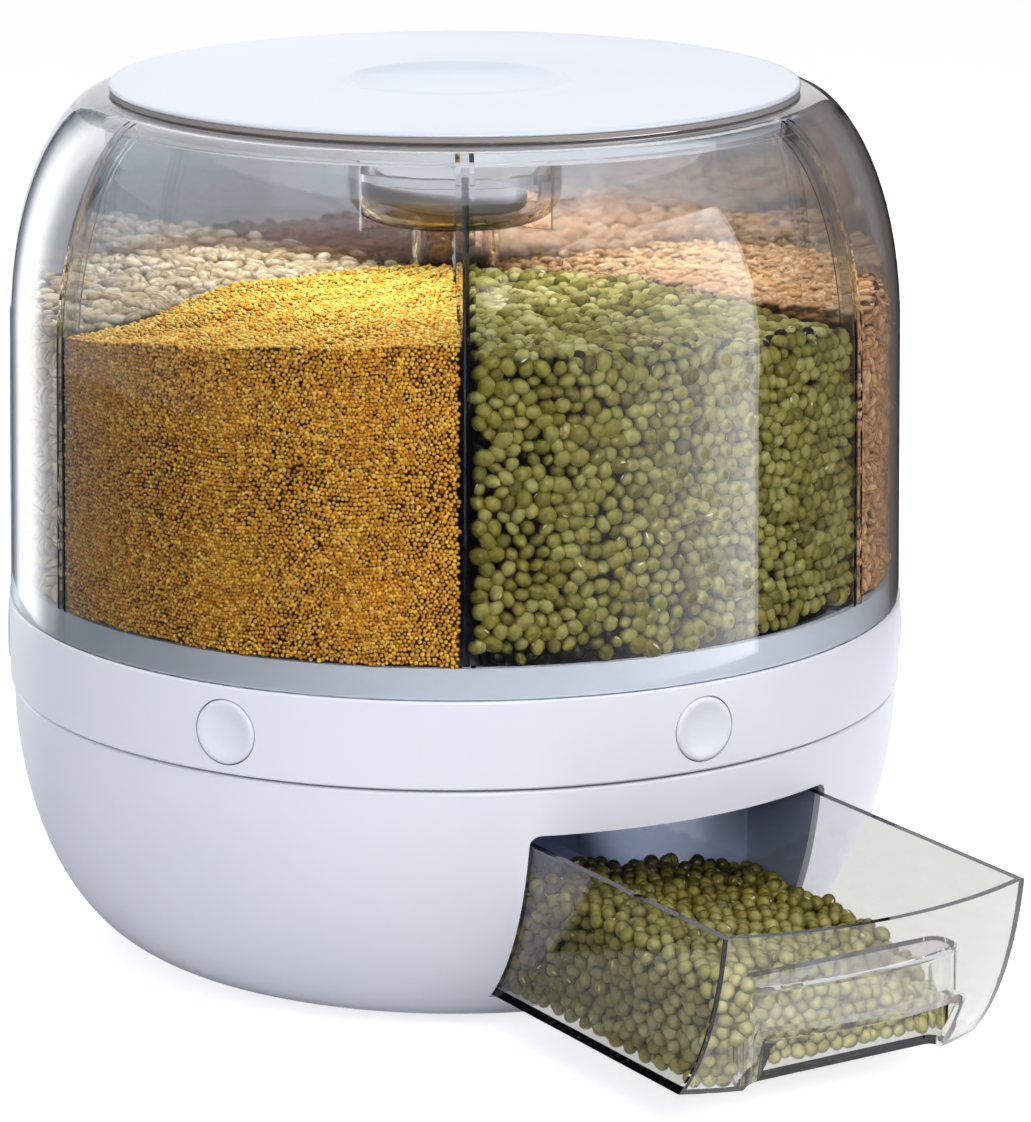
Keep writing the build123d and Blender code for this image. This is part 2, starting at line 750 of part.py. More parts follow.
def barrel_edge(inset, bottom, top):
    """The barrel's side from bottom to top, drawn this far inside its outer face."""
    lean = (shoulder_radius - barrel_foot_radius) / (shoulder_height - ring_top)
    foot = (barrel_foot_radius + lean * (bottom - ring_top) - inset, bottom)
    side = Line(foot, (shoulder_radius - inset, shoulder_height))
    arc = EllipticalCenterArc(
        (shoulder_radius - shoulder_reach, shoulder_height),
        shoulder_reach - inset,
        shoulder_rise - inset,
        start_angle=0,
        arc_size=shoulder_angle(inset, top),
    )
    return side, arc


# Clear barrel: one revolved wall with a rounded shoulder, a flat rim, and slot ribs for the boards
with BuildPart() as barrel:
    with BuildSketch(Plane.XZ) as wall:
        with BuildLine():
            outer_side, outer_arc = barrel_edge(0, ring_top, barrel_top)
            inner_side, inner_arc = barrel_edge(barrel_wall, ring_top, barrel_top - barrel_wall)
            Polyline(
                outer_arc @ 1,
                (mouth_radius, barrel_top),
                (mouth_radius, barrel_top - barrel_wall),
                inner_arc @ 1,
            )
            Line(inner_side @ 0, outer_side @ 0)
        make_face()
        fillet(wall.vertices().sort_by_distance(outer_arc @ 1)[0], shoulder_blend)
        fillet(wall.vertices().sort_by_distance(inner_arc @ 1)[0], shoulder_blend - barrel_wall)
    revolve(axis=Axis.Z)
    slot_half = board_thickness / 2 + slot_gap
    rib_foot = collar_top + seat_gap
    rib_top = barrel_top - barrel_wall / 2
    rib_inner_top = barrel_top - barrel_wall - rib_depth
    for n in range(compartments):
        plane = radial_plane(wall_angle(n))
        for offset in (slot_half, -slot_half - rib_thickness):
            with BuildSketch(plane.offset(offset)):
                with BuildLine():
                    rib_side, rib_arc = barrel_edge(barrel_wall / 2, rib_foot, rib_top)
                    in_side, in_arc = barrel_edge(barrel_wall + rib_depth, rib_foot, rib_inner_top)
                    Line(rib_side @ 0, in_side @ 0)
                    Line(in_arc @ 1, rib_arc @ 1)
                make_face()
            extrude(amount=rib_thickness)
finish(barrel.part, "barrel")

# Partition boards: each slots between two ribs and stands on a ridge of the tray
board_bottom = web_top + seat_gap
step_height = collar_top + 2 * seat_gap
board_foot_outer = collar_radius - collar_wall - seat_gap
notch_radius = bowl_radius + board_edge_gap
notch_height = bowl_bottom - board_edge_gap
for n in range(compartments):
    with BuildPart() as partition:
        with BuildSketch(radial_plane(wall_angle(n))) as outline:
            with BuildLine():
                side, arc = barrel_edge(barrel_wall + board_edge_gap, step_height, board_outer_top)
                Polyline(
                    arc @ 1,
                    (notch_radius, board_inner_top),
                    (notch_radius, notch_height),
                    (column_radius + seat_gap, notch_height),
                    (column_radius + seat_gap, board_bottom),
                    (board_foot_outer, board_bottom),
                    (board_foot_outer, step_height),
                    side @ 0,
                )
            make_face()
            fillet(outline.vertices().sort_by_distance(arc @ 1)[0], board_corner)
        extrude(amount=board_thickness / 2, both=True)
    finish(partition.part, f"partition_{n + 1}")

# Centre column and the moisture bowl on top of it
with BuildPart() as centre_column:
    with BuildSketch(Plane.XY.offset(web_top)):
        Circle(column_radius)
        Circle(column_radius - column_wall, mode=Mode.SUBTRACT)
    extrude(amount=bowl_bottom - web_top)
finish(centre_column.part, "centre_column")

with BuildPart() as bowl_space:
    with BuildSketch(Plane.XY.offset(bowl_bottom + bowl_wall)):
        Circle(bowl_radius - bowl_wall)
    extrude(amount=bowl_height - bowl_wall - bowl_rim_height)
    fillet(bowl_space.edges().group_by(Axis.Z)[0], bowl_corner - bowl_wall)

with BuildPart() as moisture_bowl:
    with BuildSketch(Plane.XY.offset(bowl_bottom)):
        Circle(bowl_radius)
    extrude(amount=bowl_height)
    fillet(moisture_bowl.edges().group_by(Axis.Z)[0], bowl_corner)
    add(bowl_space.part, mode=Mode.SUBTRACT)
    with BuildSketch(Plane.XY.offset(bowl_bottom + bowl_height)):
        Circle(bowl_radius - bowl_rim_width)
    extrude(amount=-bowl_height / 2, mode=Mode.SUBTRACT)
finish(moisture_bowl.part, "moisture_bowl")

# Moisture packet: a flat round box that leans in the bowl
with BuildPart() as moisture_packet:
    with BuildSketch(Plane.XY):
        Circle(packet_radius)
    extrude(amount=packet_thickness)
    fillet(moisture_packet.edges(), packet_corner)
    with BuildSketch(Plane.XY.offset(packet_wall)):
        Circle(packet_radius - packet_wall)
    extrude(amount=packet_thickness - 2 * packet_wall, mode=Mode.SUBTRACT)
lean_axis = Axis((0, 0, 0), (sin(radians(packet_side)), -cos(radians(packet_side)), 0))
packet_part = moisture_packet.part.rotate(lean_axis, packet_tilt)
packet_part = packet_part.moved(
    Location((
        packet_shift * cos(radians(packet_side)),
        packet_shift * sin(radians(packet_side)),
        bowl_bottom + bowl_wall + packet_lift,
    ))
)
finish(packet_part, "moisture_packet")

# Lid: a thin white disc with a shallow finger dish, over a pan that drops into the mouth
with BuildPart() as lid_panel:
    dish_low = lid_top - lid_dish_depth
    with BuildSketch(Plane.XZ):
        with BuildLine():
            Polyline(
                (0, dish_low),
                (lid_dish_floor, dish_low),
                (lid_dish_radius, lid_top),
                (lid_dish_radius, lid_top + lid_bead_rise),
                (lid_dish_radius + lid_bead_width, lid_top + lid_bead_rise),
                (lid_dish_radius + lid_bead_width, lid_top),
                (lid_radius, lid_top),
                (lid_radius, lid_floor),
                (lid_dish_radius + lid_thickness, lid_floor),
                (lid_dish_floor + lid_thickness, dish_low - lid_thickness),
                (0, dish_low - lid_thickness),
                close=True,
            )
        make_face()
    revolve(axis=Axis.Z)
    rim = lid_panel.edges().filter_by(GeomType.CIRCLE).sort_by(SortBy.RADIUS)[-2:]
    fillet(rim, lid_thickness / 3)
finish(lid_panel.part, "lid_panel")

with BuildPart() as lid_gasket:
    with BuildSketch(Plane.XY.offset(barrel_top)):
        Circle(lid_radius - gasket_inset)
        Circle(gasket_inner, mode=Mode.SUBTRACT)
    extrude(amount=gasket_thickness)
finish(lid_gasket.part, "lid_gasket")

with BuildPart() as lid_pan:
    with BuildSketch(Plane.XY.offset(lid_floor - lid_pan_depth)):
        Circle(lid_pan_radius)
    extrude(amount=lid_pan_depth)
    with BuildSketch(Plane.XY.offset(lid_floor)):
        Circle(lid_pan_radius - lid_pan_wall)
    extrude(amount=lid_pan_wall - lid_pan_depth, mode=Mode.SUBTRACT)
finish(lid_pan.part, "lid_pan")


def front_block(half_width, back, front, bottom, top):
    """Block across x = 0, between these distances from the axis towards the front and these heights."""
    with BuildPart() as block:
        with BuildSketch(Plane.XY.offset(bottom)):
            with Locations((0, -(back + front) / 2)):
                Rectangle(2 * half_width, front - back)
        extrude(amount=top - bottom)
    return block.part


def pocket_solid(inset, foot):
    """The finger pocket with its bowed front, drawn this far inside its outer faces."""
    radius = pocket_radius - inset
    back = pocket_back + inset
    with BuildPart() as pocket:
        with BuildSketch(Plane.XY.offset(foot)) as plan:
            Circle(radius)
            with Locations((0, -(back + radius) / 2)):
                Rectangle(2 * (pocket_half - inset), radius - back, mode=Mode.INTERSECT)
            fillet(plan.vertices(), pocket_corner - inset)
        extrude(amount=pocket_top - inset - foot)
    return pocket.part


def arch_solid(grow, foot):
    """The arched way through the drawer's front wall into the pocket, grown by a wall."""
    start = Plane.XZ.offset(pocket_back + pocket_corner)
    height = arch_top + grow - foot
    with BuildPart() as arch:
        with BuildSketch(start) as outline:
            with Locations((0, foot + height / 2)):
                Rectangle(2 * (arch_half + grow), height)
            fillet(outline.vertices().group_by(Axis.Y)[-1], arch_corner)
        extrude(amount=base_radius - pocket_back)
    return arch.part


# The drawer's inside, which keeps clear of the finger pocket and its arch
with BuildPart() as drawer_space:
    space_back = drawer_wall - drawer_back
    space_half = drawer_half - drawer_wall
    space_foot = drawer_bottom + drawer_wall
    add(front_block(space_half, space_back, base_radius, space_foot, drawer_top + overlap))
    add(bowl_solid(drawer_wall), mode=Mode.INTERSECT)
    add(pocket_solid(0, drawer_bottom), mode=Mode.SUBTRACT)
    add(arch_solid(arch_wall, drawer_bottom), mode=Mode.SUBTRACT)

# Clear drawer: its front follows the bowl, with the arch cut through it into the pocket
with BuildPart() as drawer:
    add(front_block(drawer_half, -drawer_back, base_radius, drawer_bottom, drawer_top))
    fillet(drawer.edges().filter_by(Axis.Z).group_by(Axis.Y)[-1], drawer_corner)
    add(bowl_solid(0), mode=Mode.INTERSECT)
    add(drawer_space.part, mode=Mode.SUBTRACT)
    add(pocket_solid(pocket_wall, drawer_bottom - overlap), mode=Mode.SUBTRACT)
    add(arch_solid(0, drawer_bottom - overlap), mode=Mode.SUBTRACT)
finish(drawer.part.moved(Location((0, -drawer_pull, 0))), "drawer")
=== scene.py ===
# %% [markdown]
# # A rotating grain dispenser
# The real object is a plastic kitchen bin for dry grain: a white bowl that stands still, a white ring with
# six push buttons and a clear barrel that turn on it, six kinds of grain behind boards, and a clear drawer
# that catches what falls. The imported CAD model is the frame. This script gives it the finish of the real
# plastics, and adds what CAD leaves out: soft dishes in the buttons and the lid, grain, light and a camera.

# %% Load the frame
import math

import bmesh
import bpy
import numpy as np
from mathutils import Matrix, Vector
from mathutils.kdtree import KDTree


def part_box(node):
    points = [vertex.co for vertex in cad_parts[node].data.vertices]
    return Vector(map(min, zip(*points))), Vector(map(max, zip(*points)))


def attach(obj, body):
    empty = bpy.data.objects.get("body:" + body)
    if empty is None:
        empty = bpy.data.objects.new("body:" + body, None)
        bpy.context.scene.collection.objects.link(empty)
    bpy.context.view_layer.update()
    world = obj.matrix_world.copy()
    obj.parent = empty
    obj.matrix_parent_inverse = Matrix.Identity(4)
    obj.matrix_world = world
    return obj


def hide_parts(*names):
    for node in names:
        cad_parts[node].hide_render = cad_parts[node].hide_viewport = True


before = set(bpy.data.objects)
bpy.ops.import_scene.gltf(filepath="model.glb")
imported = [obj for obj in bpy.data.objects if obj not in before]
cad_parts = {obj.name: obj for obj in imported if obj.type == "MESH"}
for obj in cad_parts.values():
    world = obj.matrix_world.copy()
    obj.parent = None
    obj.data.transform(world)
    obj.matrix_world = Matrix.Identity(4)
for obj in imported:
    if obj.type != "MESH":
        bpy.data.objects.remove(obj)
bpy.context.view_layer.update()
scene = bpy.context.scene

# %% [markdown]
# ## Units and small helpers
# Sizes are written in millimetres, as on the drawing, and MM turns them into Blender's metres.
# Colours are written as the hex values that a picture editor shows. A shader works in linear light, so
# `linear` undoes the sRGB curve. `node` adds one shader node with its settings, values and links, and
# `to_object` turns a finished bmesh into an object.

# %% Units, colours and nodes
MM = 0.001
FULL_TURN = 2 * math.pi


def linear(hex_colour):
    """The linear RGBA of an sRGB hex colour."""
    parts = [int(hex_colour[i:i + 2], 16) / 255 for i in (1, 3, 5)]
    return (*[c / 12.92 if c < 0.04045 else ((c + 0.055) / 1.055) ** 2.4 for c in parts], 1)


def node(tree, kind, sockets=None, **settings):
    """Adds a node. A socket takes a value, or another node's output, which is linked to it."""
    made = tree.nodes.new(kind)
    for name, value in settings.items():
        setattr(made, name, value)
    for socket, value in (sockets or {}).items():
        if isinstance(value, bpy.types.NodeSocket):
            tree.links.new(value, made.inputs[socket])
        else:
            made.inputs[socket].default_value = value
    return made


def blank_material(name):
    """A material with only its output node, and that node."""
    material = bpy.data.materials.new(name)
    material.use_nodes = True
    tree = material.node_tree
    tree.nodes.clear()
    return material, tree, tree.nodes.new("ShaderNodeOutputMaterial")


def ramp(tree, factor, stops, interpolation="LINEAR"):
    """A colour ramp from (place, hex colour) stops."""
    made = node(tree, "ShaderNodeValToRGB", {"Fac": factor})
    made.color_ramp.interpolation = interpolation
    elements = made.color_ramp.elements
    while len(elements) < len(stops):
        elements.new(0.5)
    for element, (place, colour) in zip(elements, stops):
        element.position = place
        element.color = linear(colour)
    return made.outputs["Color"]


def to_object(name, bm, material):
    """An object in the scene made from this bmesh, which is freed."""
    mesh = bpy.data.meshes.new(name)
    bm.to_mesh(mesh)
    bm.free()
    mesh.materials.append(material)
    made = bpy.data.objects.new(name, mesh)
    scene.collection.objects.link(made)
    return made


print("mid grey in linear light:", round(linear("#808080")[0], 3))

# %% [markdown]
# ## The camera comes first
# The photograph was taken from the front left and a little above. A camera was fitted to it from the
# ellipses of the ring and the drawer's edges: 1.37 m from the axis, 0.455 m up, looking 13.8 degrees
# down. The frame is 1031 by 1122, so the lens is set on its long side, and two small shifts put the
# lens axis where the fit has it.

# %% Camera
camera_data = bpy.data.cameras.new("camera")
camera_data.sensor_width = 36
camera_data.lens = 155.0
camera_data.shift_x = 0.0541
camera_data.shift_y = -0.0289
camera = bpy.data.objects.new("camera", camera_data)
camera.location = (-0.7139, -1.1691, 0.455)
camera.rotation_euler = (math.radians(90 - 13.81), 0, math.radians(-31.41))
scene.collection.objects.link(camera)
scene.camera = camera
scene.view_settings.view_transform = "Standard"
print("camera", round(camera.location.length, 3), "m from the foot")

# %% [markdown]
# ## White studio
# The picture has a white ground with hardly a shadow. The world is white for rays that look at it,
# straight or through and off the plastic, and softer for the light it gives. The floor does the same
# with a little light of its own for those rays, so a soft shadow stays under the object.

# %% World and floor
def looking_rays(tree):
    """1 for rays that look at a surface: from the camera, off gloss or through glass."""
    path = node(tree, "ShaderNodeLightPath")
    seen = node(tree, "ShaderNodeMath",
                {0: path.outputs["Is Camera Ray"], 1: path.outputs["Is Glossy Ray"]}, operation="MAXIMUM")
    return node(tree, "ShaderNodeMath",
                {0: seen.outputs[0], 1: path.outputs["Is Transmission Ray"]}, operation="MAXIMUM").outputs[0]


world = bpy.data.worlds.new("white_studio")
world.use_nodes = True
world_tree = world.node_tree
world_tree.nodes.clear()
fill = node(world_tree, "ShaderNodeBackground", {"Color": linear("#F2F5FF"), "Strength": 0.42})
seen_white = node(world_tree, "ShaderNodeBackground", {"Color": linear("#FFFFFF"), "Strength": 1.0})
world_mix = node(world_tree, "ShaderNodeMixShader",
                 {0: looking_rays(world_tree), 1: fill.outputs[0], 2: seen_white.outputs[0]})
node(world_tree, "ShaderNodeOutputWorld", {"Surface": world_mix.outputs[0]})
scene.world = world

floor_paper, tree, out = blank_material("white_paper_floor")
paper = node(tree, "ShaderNodeBsdfDiffuse", {"Color": linear("#D9DADD")})
glow = node(tree, "ShaderNodeEmission", {"Color": linear("#FFFFFF"), "Strength": 0.7})
dark = node(tree, "ShaderNodeEmission", {"Strength": 0.0})
lift = node(tree, "ShaderNodeMixShader", {0: looking_rays(tree), 1: dark.outputs[0], 2: glow.outputs[0]})
added = node(tree, "ShaderNodeAddShader", {0: paper.outputs[0], 1: lift.outputs[0]})
tree.links.new(added.outputs[0], out.inputs["Surface"])

floor_bm = bmesh.new()
bmesh.ops.create_grid(floor_bm, x_segments=1, y_segments=1, size=6)
floor = to_object("floor", floor_bm, floor_paper)
print("floor", [round(x) for x in floor.dimensions[:2]], "m")

# %% [markdown]
# ## Lamps
# Soft boxes give the even light of a product picture: two in front, and one behind that reaches the top of
# the grain through the barrel's shoulder. They aren't seen in gloss, where they would show as windows. A
# small one is seen only in gloss and puts sparks on the beans. The thin white lid and bowl let some daylight
# through, which a faint lamp under the lid and one in the drawer's bay stand for.

# %% Lamps
def soft_box(name, azimuth, elevation, distance, size, power, aim=(0, 0, 0.12), gloss_only=False):
    """An area lamp that looks at aim from this direction; azimuth runs from +X, in degrees."""
    data = bpy.data.lights.new(name, "AREA")
    data.shape = "RECTANGLE"
    data.size, data.size_y = size
    data.energy = power
    lamp = bpy.data.objects.new(name, data)
    a, e = math.radians(azimuth), math.radians(elevation)
    away = Vector((math.cos(a) * math.cos(e), math.sin(a) * math.cos(e), math.sin(e)))
    lamp.location = Vector(aim) + away * distance
    lamp.rotation_euler = away.to_track_quat("Z", "Y").to_euler()
    lamp.visible_camera = False
    lamp.visible_transmission = False
    lamp.visible_diffuse = not gloss_only
    lamp.visible_glossy = gloss_only
    scene.collection.objects.link(lamp)
    return lamp


soft_box("key_box", -90, 38, 1.3, (0.7, 0.7), 9.4)
soft_box("back_box", 70, 32, 1.2, (0.9, 0.6), 10)
soft_box("front_box", -158, 12, 1.5, (1.0, 0.8), 5.4)
soft_box("spark_box", -112, 14, 1.0, (0.09, 0.09), 3, aim=(0, 0, 0.2), gloss_only=True)
bay_glow = soft_box("bay_glow", 165, 5, 0.06, (0.012, 0.012), 0.012, aim=(0.0488, -0.03, 0.036))
bay_glow.data.spread = math.radians(75)
soft_box("lid_glow", 0, 90, 0, (0.15, 0.15), 0.4, aim=(0, 0, 0.2395))

# %% [markdown]
# ## Flags round the clear plastic
# Clear plastic shows nothing of its own, only its surroundings. A photographer stands dark and graded
# cards round it, out of the picture, which draw its edges and keep a veil of white off its front. These
# cards are seen only in reflections and through the plastic. They neither light nor shade anything.
#
# - The two grounds, `tall_flag` and `low_flag` darken what the barrel's front mirrors from far off. On the
#   left they grow bright, which draws the barrel's left edge.
# - `band_card` is the bright band on the barrel's right, soft on one side and sharp on the other, and
#   `left_card` the bright streak near its left edge.
# - `through_card` is what rays meet that have passed the plastic: pale behind the object, and dark in front
#   and on the left, where only the inner faces mirror it.
# - `drawer_card` is the paper seen through the drawer.

# %% Flags
def flag(name, start, stop, line, stops, strength=1.0):
    """A card bent round the object from azimuth start to stop, with a colour at each azimuth in stops.

    Its line is a profile of (radius, height) in metres.
    """
    material, tree, out = blank_material(name + "_card")
    place = node(tree, "ShaderNodeTexCoord").outputs["Object"]
    turned = node(tree, "ShaderNodeMapping",
                  {"Vector": place, "Rotation": (0, 0, math.radians(180 - start))})
    around = node(tree, "ShaderNodeTexGradient", {"Vector": turned.outputs[0]}, gradient_type="RADIAL")
    width = stop - start
    share = node(tree, "ShaderNodeMapRange", {"Value": around.outputs["Fac"], "From Max": width / 360})
    tone = ramp(tree, share.outputs[0], [((azimuth - start) / width, colour) for azimuth, colour in stops])
    light = node(tree, "ShaderNodeEmission", {"Color": tone, "Strength": strength})
    tree.links.new(light.outputs[0], out.inputs["Surface"])
    bm = bmesh.new()
    a = math.radians(start)
    verts = [bm.verts.new((r * math.cos(a), r * math.sin(a), z)) for r, z in line]
    edges = [bm.edges.new(pair) for pair in zip(verts, verts[1:])]
    bmesh.ops.spin(bm, geom=[*verts, *edges], cent=(0, 0, 0), axis=(0, 0, 1),
                   angle=math.radians(width), steps=24, use_merge=False)
    card = to_object(name, bm, material)
    card.visible_camera = card.visible_diffuse = card.visible_shadow = False
    return card


ABOVE_FLOOR = 0.004
FAR = 1.0
left_ground = flag("left_ground", -300, -110, [(0.092, ABOVE_FLOOR), (FAR, ABOVE_FLOOR)],
                   [(-300, "#6F8299"), (-282, "#7F93A9"), (-272, "#A9BCCF"), (-262, "#F4FAFF"),
                    (-240, "#DCE6EF"), (-228, "#A4AAB1"), (-212, "#757B82"), (-188, "#3E4247"),
                    (-110, "#26272A")])
right_ground = flag("right_ground", -110, 60, [(0.42, ABOVE_FLOOR), (FAR, ABOVE_FLOOR)],
                    [(-110, "#26272A"), (60, "#1E1E20")])
tall_flag = flag("tall_flag", -250, 40, [(FAR, ABOVE_FLOOR), (FAR, 1.3)],
                 [(-250, "#F0F6FC"), (-215, "#C3D3E2"), (-180, "#5A6068"), (-150, "#34373C"),
                  (40, "#1E1E20")])
low_flag = flag("low_flag", 40, 60, [(FAR, ABOVE_FLOOR), (FAR, 0.3)], [(40, "#1E1E20"), (60, "#1E1E20")])
for card in (right_ground, low_flag):
    card.visible_transmission = False
band_card = flag("band_card", -116, -50.7, [(0.42, 0.03), (0.42, 0.42)],
                 [(-116, "#000000"), (-100, "#242424"), (-86, "#606060"), (-70, "#B0B0B0"), (-56, "#F0F0F0"),
                  (-50.7, "#FFFFFF")], strength=3.0)
left_card = flag("left_card", -270, -225, [(0.45, 0.005), (0.45, 0.42)],
                 [(-270, "#000000"), (-262, "#7A8088"), (-252, "#FFFFFF"), (-243, "#FFFFFF"),
                  (-239, "#C8CCD0"), (-234, "#8A8A8A"), (-225, "#000000")], strength=2.3)
through_card = flag("through_card", -150, 210, [(0.4, ABOVE_FLOOR), (0.55, ABOVE_FLOOR), (0.55, 0.42)],
                    [(-150, "#2A2B2E"), (-31, "#2A2B2E"), (-20, "#746C68"), (41, "#8B817C"), (49, "#D8D9DC"),
                     (66, "#E8E9EC"), (75, "#A6A4A8"), (82, "#B8BEC4"), (88, "#C0D0DE"), (123, "#D0DCE6"),
                     (133, "#3A3D42"), (210, "#2A2B2E")])
drawer_card = flag("drawer_card", -150, 60, [(0.1, ABOVE_FLOOR), (0.4, ABOVE_FLOOR)],
                   [(-150, "#F2F3F1"), (60, "#F2F2F0")])
through_card.visible_glossy = drawer_card.visible_glossy = False
print("cards:", [card.name for card in (left_ground, right_ground, tall_flag, low_flag, band_card, left_card,
                                        through_card, drawer_card)])

# %% [markdown]
# ## Moulded white plastic
# The bowl, ring, buttons and lid are ABS, injection moulded and left with a fine satin skin. It reads as a
# soft, slightly blue white: a broad dull highlight, hardly any texture, and a faint unevenness where the
# skin sank over thicker walls. Its IOR is about 1.54 and its roughness about 0.3.

# %% Moulded plastics
def moulded_plastic(name, colour, shade, roughness, skin_mm=0.6, bump_mm=0.01, ior=1.54, through=0.0):
    """Moulded plastic, with a fine skin for the gloss and faint clouds from its shade to its colour.

    Through is the strength of a painted bluish glow, which stands for daylight shining through its thin wall.
    """
    material, tree, out = blank_material(name)
    place = node(tree, "ShaderNodeTexCoord").outputs["Object"]
    clouds = node(tree, "ShaderNodeTexNoise", {"Vector": place, "Scale": 1000 / 60, "Detail": 2.0})
    skin = node(tree, "ShaderNodeTexNoise", {"Vector": place, "Scale": 1000 / skin_mm, "Detail": 1.0})
    tone = ramp(tree, clouds.outputs["Fac"], [(0.3, shade), (0.7, colour)])
    gloss = node(tree, "ShaderNodeMapRange",
                 {"Value": skin.outputs["Fac"], "To Min": roughness - 0.04, "To Max": roughness + 0.04})
    bump = node(tree, "ShaderNodeBump",
                {"Height": skin.outputs["Fac"], "Strength": 0.35, "Distance": bump_mm * MM})
    body = node(tree, "ShaderNodeBsdfPrincipled",
                {"Base Color": tone, "Roughness": gloss.outputs[0], "Normal": bump.outputs[0], "IOR": ior,
                 "Emission Color": linear("#7080A0"), "Emission Strength": through})
    tree.links.new(body.outputs[0], out.inputs["Surface"])
    return material


abs_shell = moulded_plastic("abs_white_satin", "#E9EBF3", "#E5E7F0", 0.30)
abs_button = moulded_plastic("abs_white_button", "#E6E9F1", "#E2E5EE", 0.26, skin_mm=0.4)
abs_lid = moulded_plastic("abs_white_lid", "#E0E6F0", "#DDE3EE", 0.3, skin_mm=1.2, bump_mm=0.002)
abs_inner = moulded_plastic("abs_inner_satin", "#D9DDE6", "#D3D8E2", 0.38)
# the bay's inside is white plastic; its dark blue-grey colour is painted shade, and its glow painted light
abs_bay = moulded_plastic("abs_bay_shaded_satin", "#8790A8", "#7E88A2", 0.4, through=0.04)
pp_packet = moulded_plastic("pp_grey_packet", "#74757A", "#66676C", 0.35)
pa_slide = moulded_plastic("pa_natural_slides", "#E3DFD0", "#DAD5C4", 0.42)
silicone = moulded_plastic("silicone_seal", "#A39C97", "#958E89", 0.6, skin_mm=0.3, ior=1.41)
rubber = moulded_plastic("rubber_foot", "#4A4C50", "#3E4044", 0.75, skin_mm=0.5, bump_mm=0.03, ior=1.5)
print("plastics:", [m.name for m in bpy.data.materials if m.name.startswith("abs")])

# %% [markdown]
# ## Clear plastic
# The barrel, boards, drawer and moisture bowl are AS, a hard clear plastic with an IOR near 1.57, polished
# in the mould. Light bends in its walls, so edges turn dark or bright by themselves. A broad, very shallow
# wave in the surface keeps the reflections from looking drawn with a ruler. Lamps would not get through a
# refracting wall without caustics, so for shadow rays it lets light straight through, a little dimmed. The
# thin boards would look too heavy one behind the other, so a share of every ray goes straight through them.

# %% Clear plastics
def clear_plastic(name, tint, dim, roughness=0.02, wave_mm=0.05, ior=1.57, straight=0.0):
    """Refracting plastic.

    A lamp's light takes the tint dim at each surface, and straight is the share of every ray not bent.
    """
    material, tree, out = blank_material(name)
    place = node(tree, "ShaderNodeTexCoord").outputs["Object"]
    wave = node(tree, "ShaderNodeTexNoise", {"Vector": place, "Scale": 1000 / 45, "Detail": 1.0})
    bump = node(tree, "ShaderNodeBump",
                {"Height": wave.outputs["Fac"], "Strength": 0.5, "Distance": wave_mm * MM})
    body = node(tree, "ShaderNodeBsdfPrincipled",
                {"Base Color": linear(tint), "Roughness": roughness, "Normal": bump.outputs[0],
                 "IOR": ior, "Transmission Weight": 1.0})
    lit = node(tree, "ShaderNodeBsdfTransparent", {"Color": linear(dim)})
    path = node(tree, "ShaderNodeLightPath")
    share = node(tree, "ShaderNodeMath", {0: path.outputs["Is Shadow Ray"], 1: straight}, operation="MAXIMUM")
    mix = node(tree, "ShaderNodeMixShader", {0: share.outputs[0], 1: body.outputs[0], 2: lit.outputs[0]})
    tree.links.new(mix.outputs[0], out.inputs["Surface"])
    return material


as_barrel = clear_plastic("as_clear_barrel", "#F4F6F8", "#F0F2F4")
as_board = clear_plastic("as_clear_boards", "#F6F8FA", "#F0F2F4", straight=0.3)
as_bowl = clear_plastic("as_clear_bowl", "#E9EAEC", "#F0F0F2")
as_drawer = clear_plastic("as_clear_drawer", "#FAFAF9", "#F8F8F7")
print("clear:", as_barrel.name, as_board.name, as_bowl.name, as_drawer.name)

# %% [markdown]
# ## Steel
# The screws, pivot, springs and balls are zinc-plated or bare steel. A metal keeps the default IOR, its
# colour does the work, and fine scratches break up the gloss.

# %% Steel
steel, tree, out = blank_material("steel_zinc_plated")
place = node(tree, "ShaderNodeTexCoord").outputs["Object"]
scratches = node(tree, "ShaderNodeTexNoise", {"Vector": place, "Scale": 1000 / 0.8, "Detail": 4.0})
rough = node(tree, "ShaderNodeMapRange",
             {"Value": scratches.outputs["Fac"], "To Min": 0.22, "To Max": 0.42})
tone = ramp(tree, scratches.outputs["Fac"], [(0.3, "#AEB2B8"), (0.7, "#C9CCD1")])
metal = node(tree, "ShaderNodeBsdfPrincipled",
             {"Base Color": tone, "Metallic": 1.0, "Roughness": rough.outputs[0]})
tree.links.new(metal.outputs[0], out.inputs["Surface"])

# %% Materials on the CAD nodes
node_materials = {
    "base_shell": abs_shell, "button_ring": abs_shell, "base_floor": abs_bay, "drawer_guide": abs_bay,
    "base_deck": abs_bay, "gate_guide": abs_inner, "hopper_tray": abs_inner, "rubber_pads": rubber,
    "ball_cage": pa_slide, "bearing_balls": steel, "gate_springs": steel, "pivot_bolt": steel,
    "pivot_washer": steel, "pivot_nut": steel, "floor_screws": steel, "deck_screws": steel,
    "guide_screws": steel, "barrel": as_barrel, "drawer": as_drawer, "centre_column": as_bowl,
    "moisture_bowl": as_bowl, "moisture_packet": pp_packet, "lid_panel": abs_lid, "lid_gasket": silicone,
    "lid_pan": abs_inner,
}
for n in range(1, 7):
    node_materials[f"button_{n}"] = abs_button
    node_materials[f"gate_{n}"] = pa_slide
    node_materials[f"partition_{n}"] = as_board
for name, material in node_materials.items():
    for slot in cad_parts[name].material_slots:
        slot.material = material
print("painted", len(node_materials), "of", len(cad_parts), "nodes")

# %% [markdown]
# ## Buttons and lid
# Both are turned shapes, so each is a profile spun round its axis. The CAD button has a cone for its dish and
# the CAD lid a plain step. A finger dish is a soft hollow with a rounded rim, and the light on that curve
# is what shows the button in the picture.

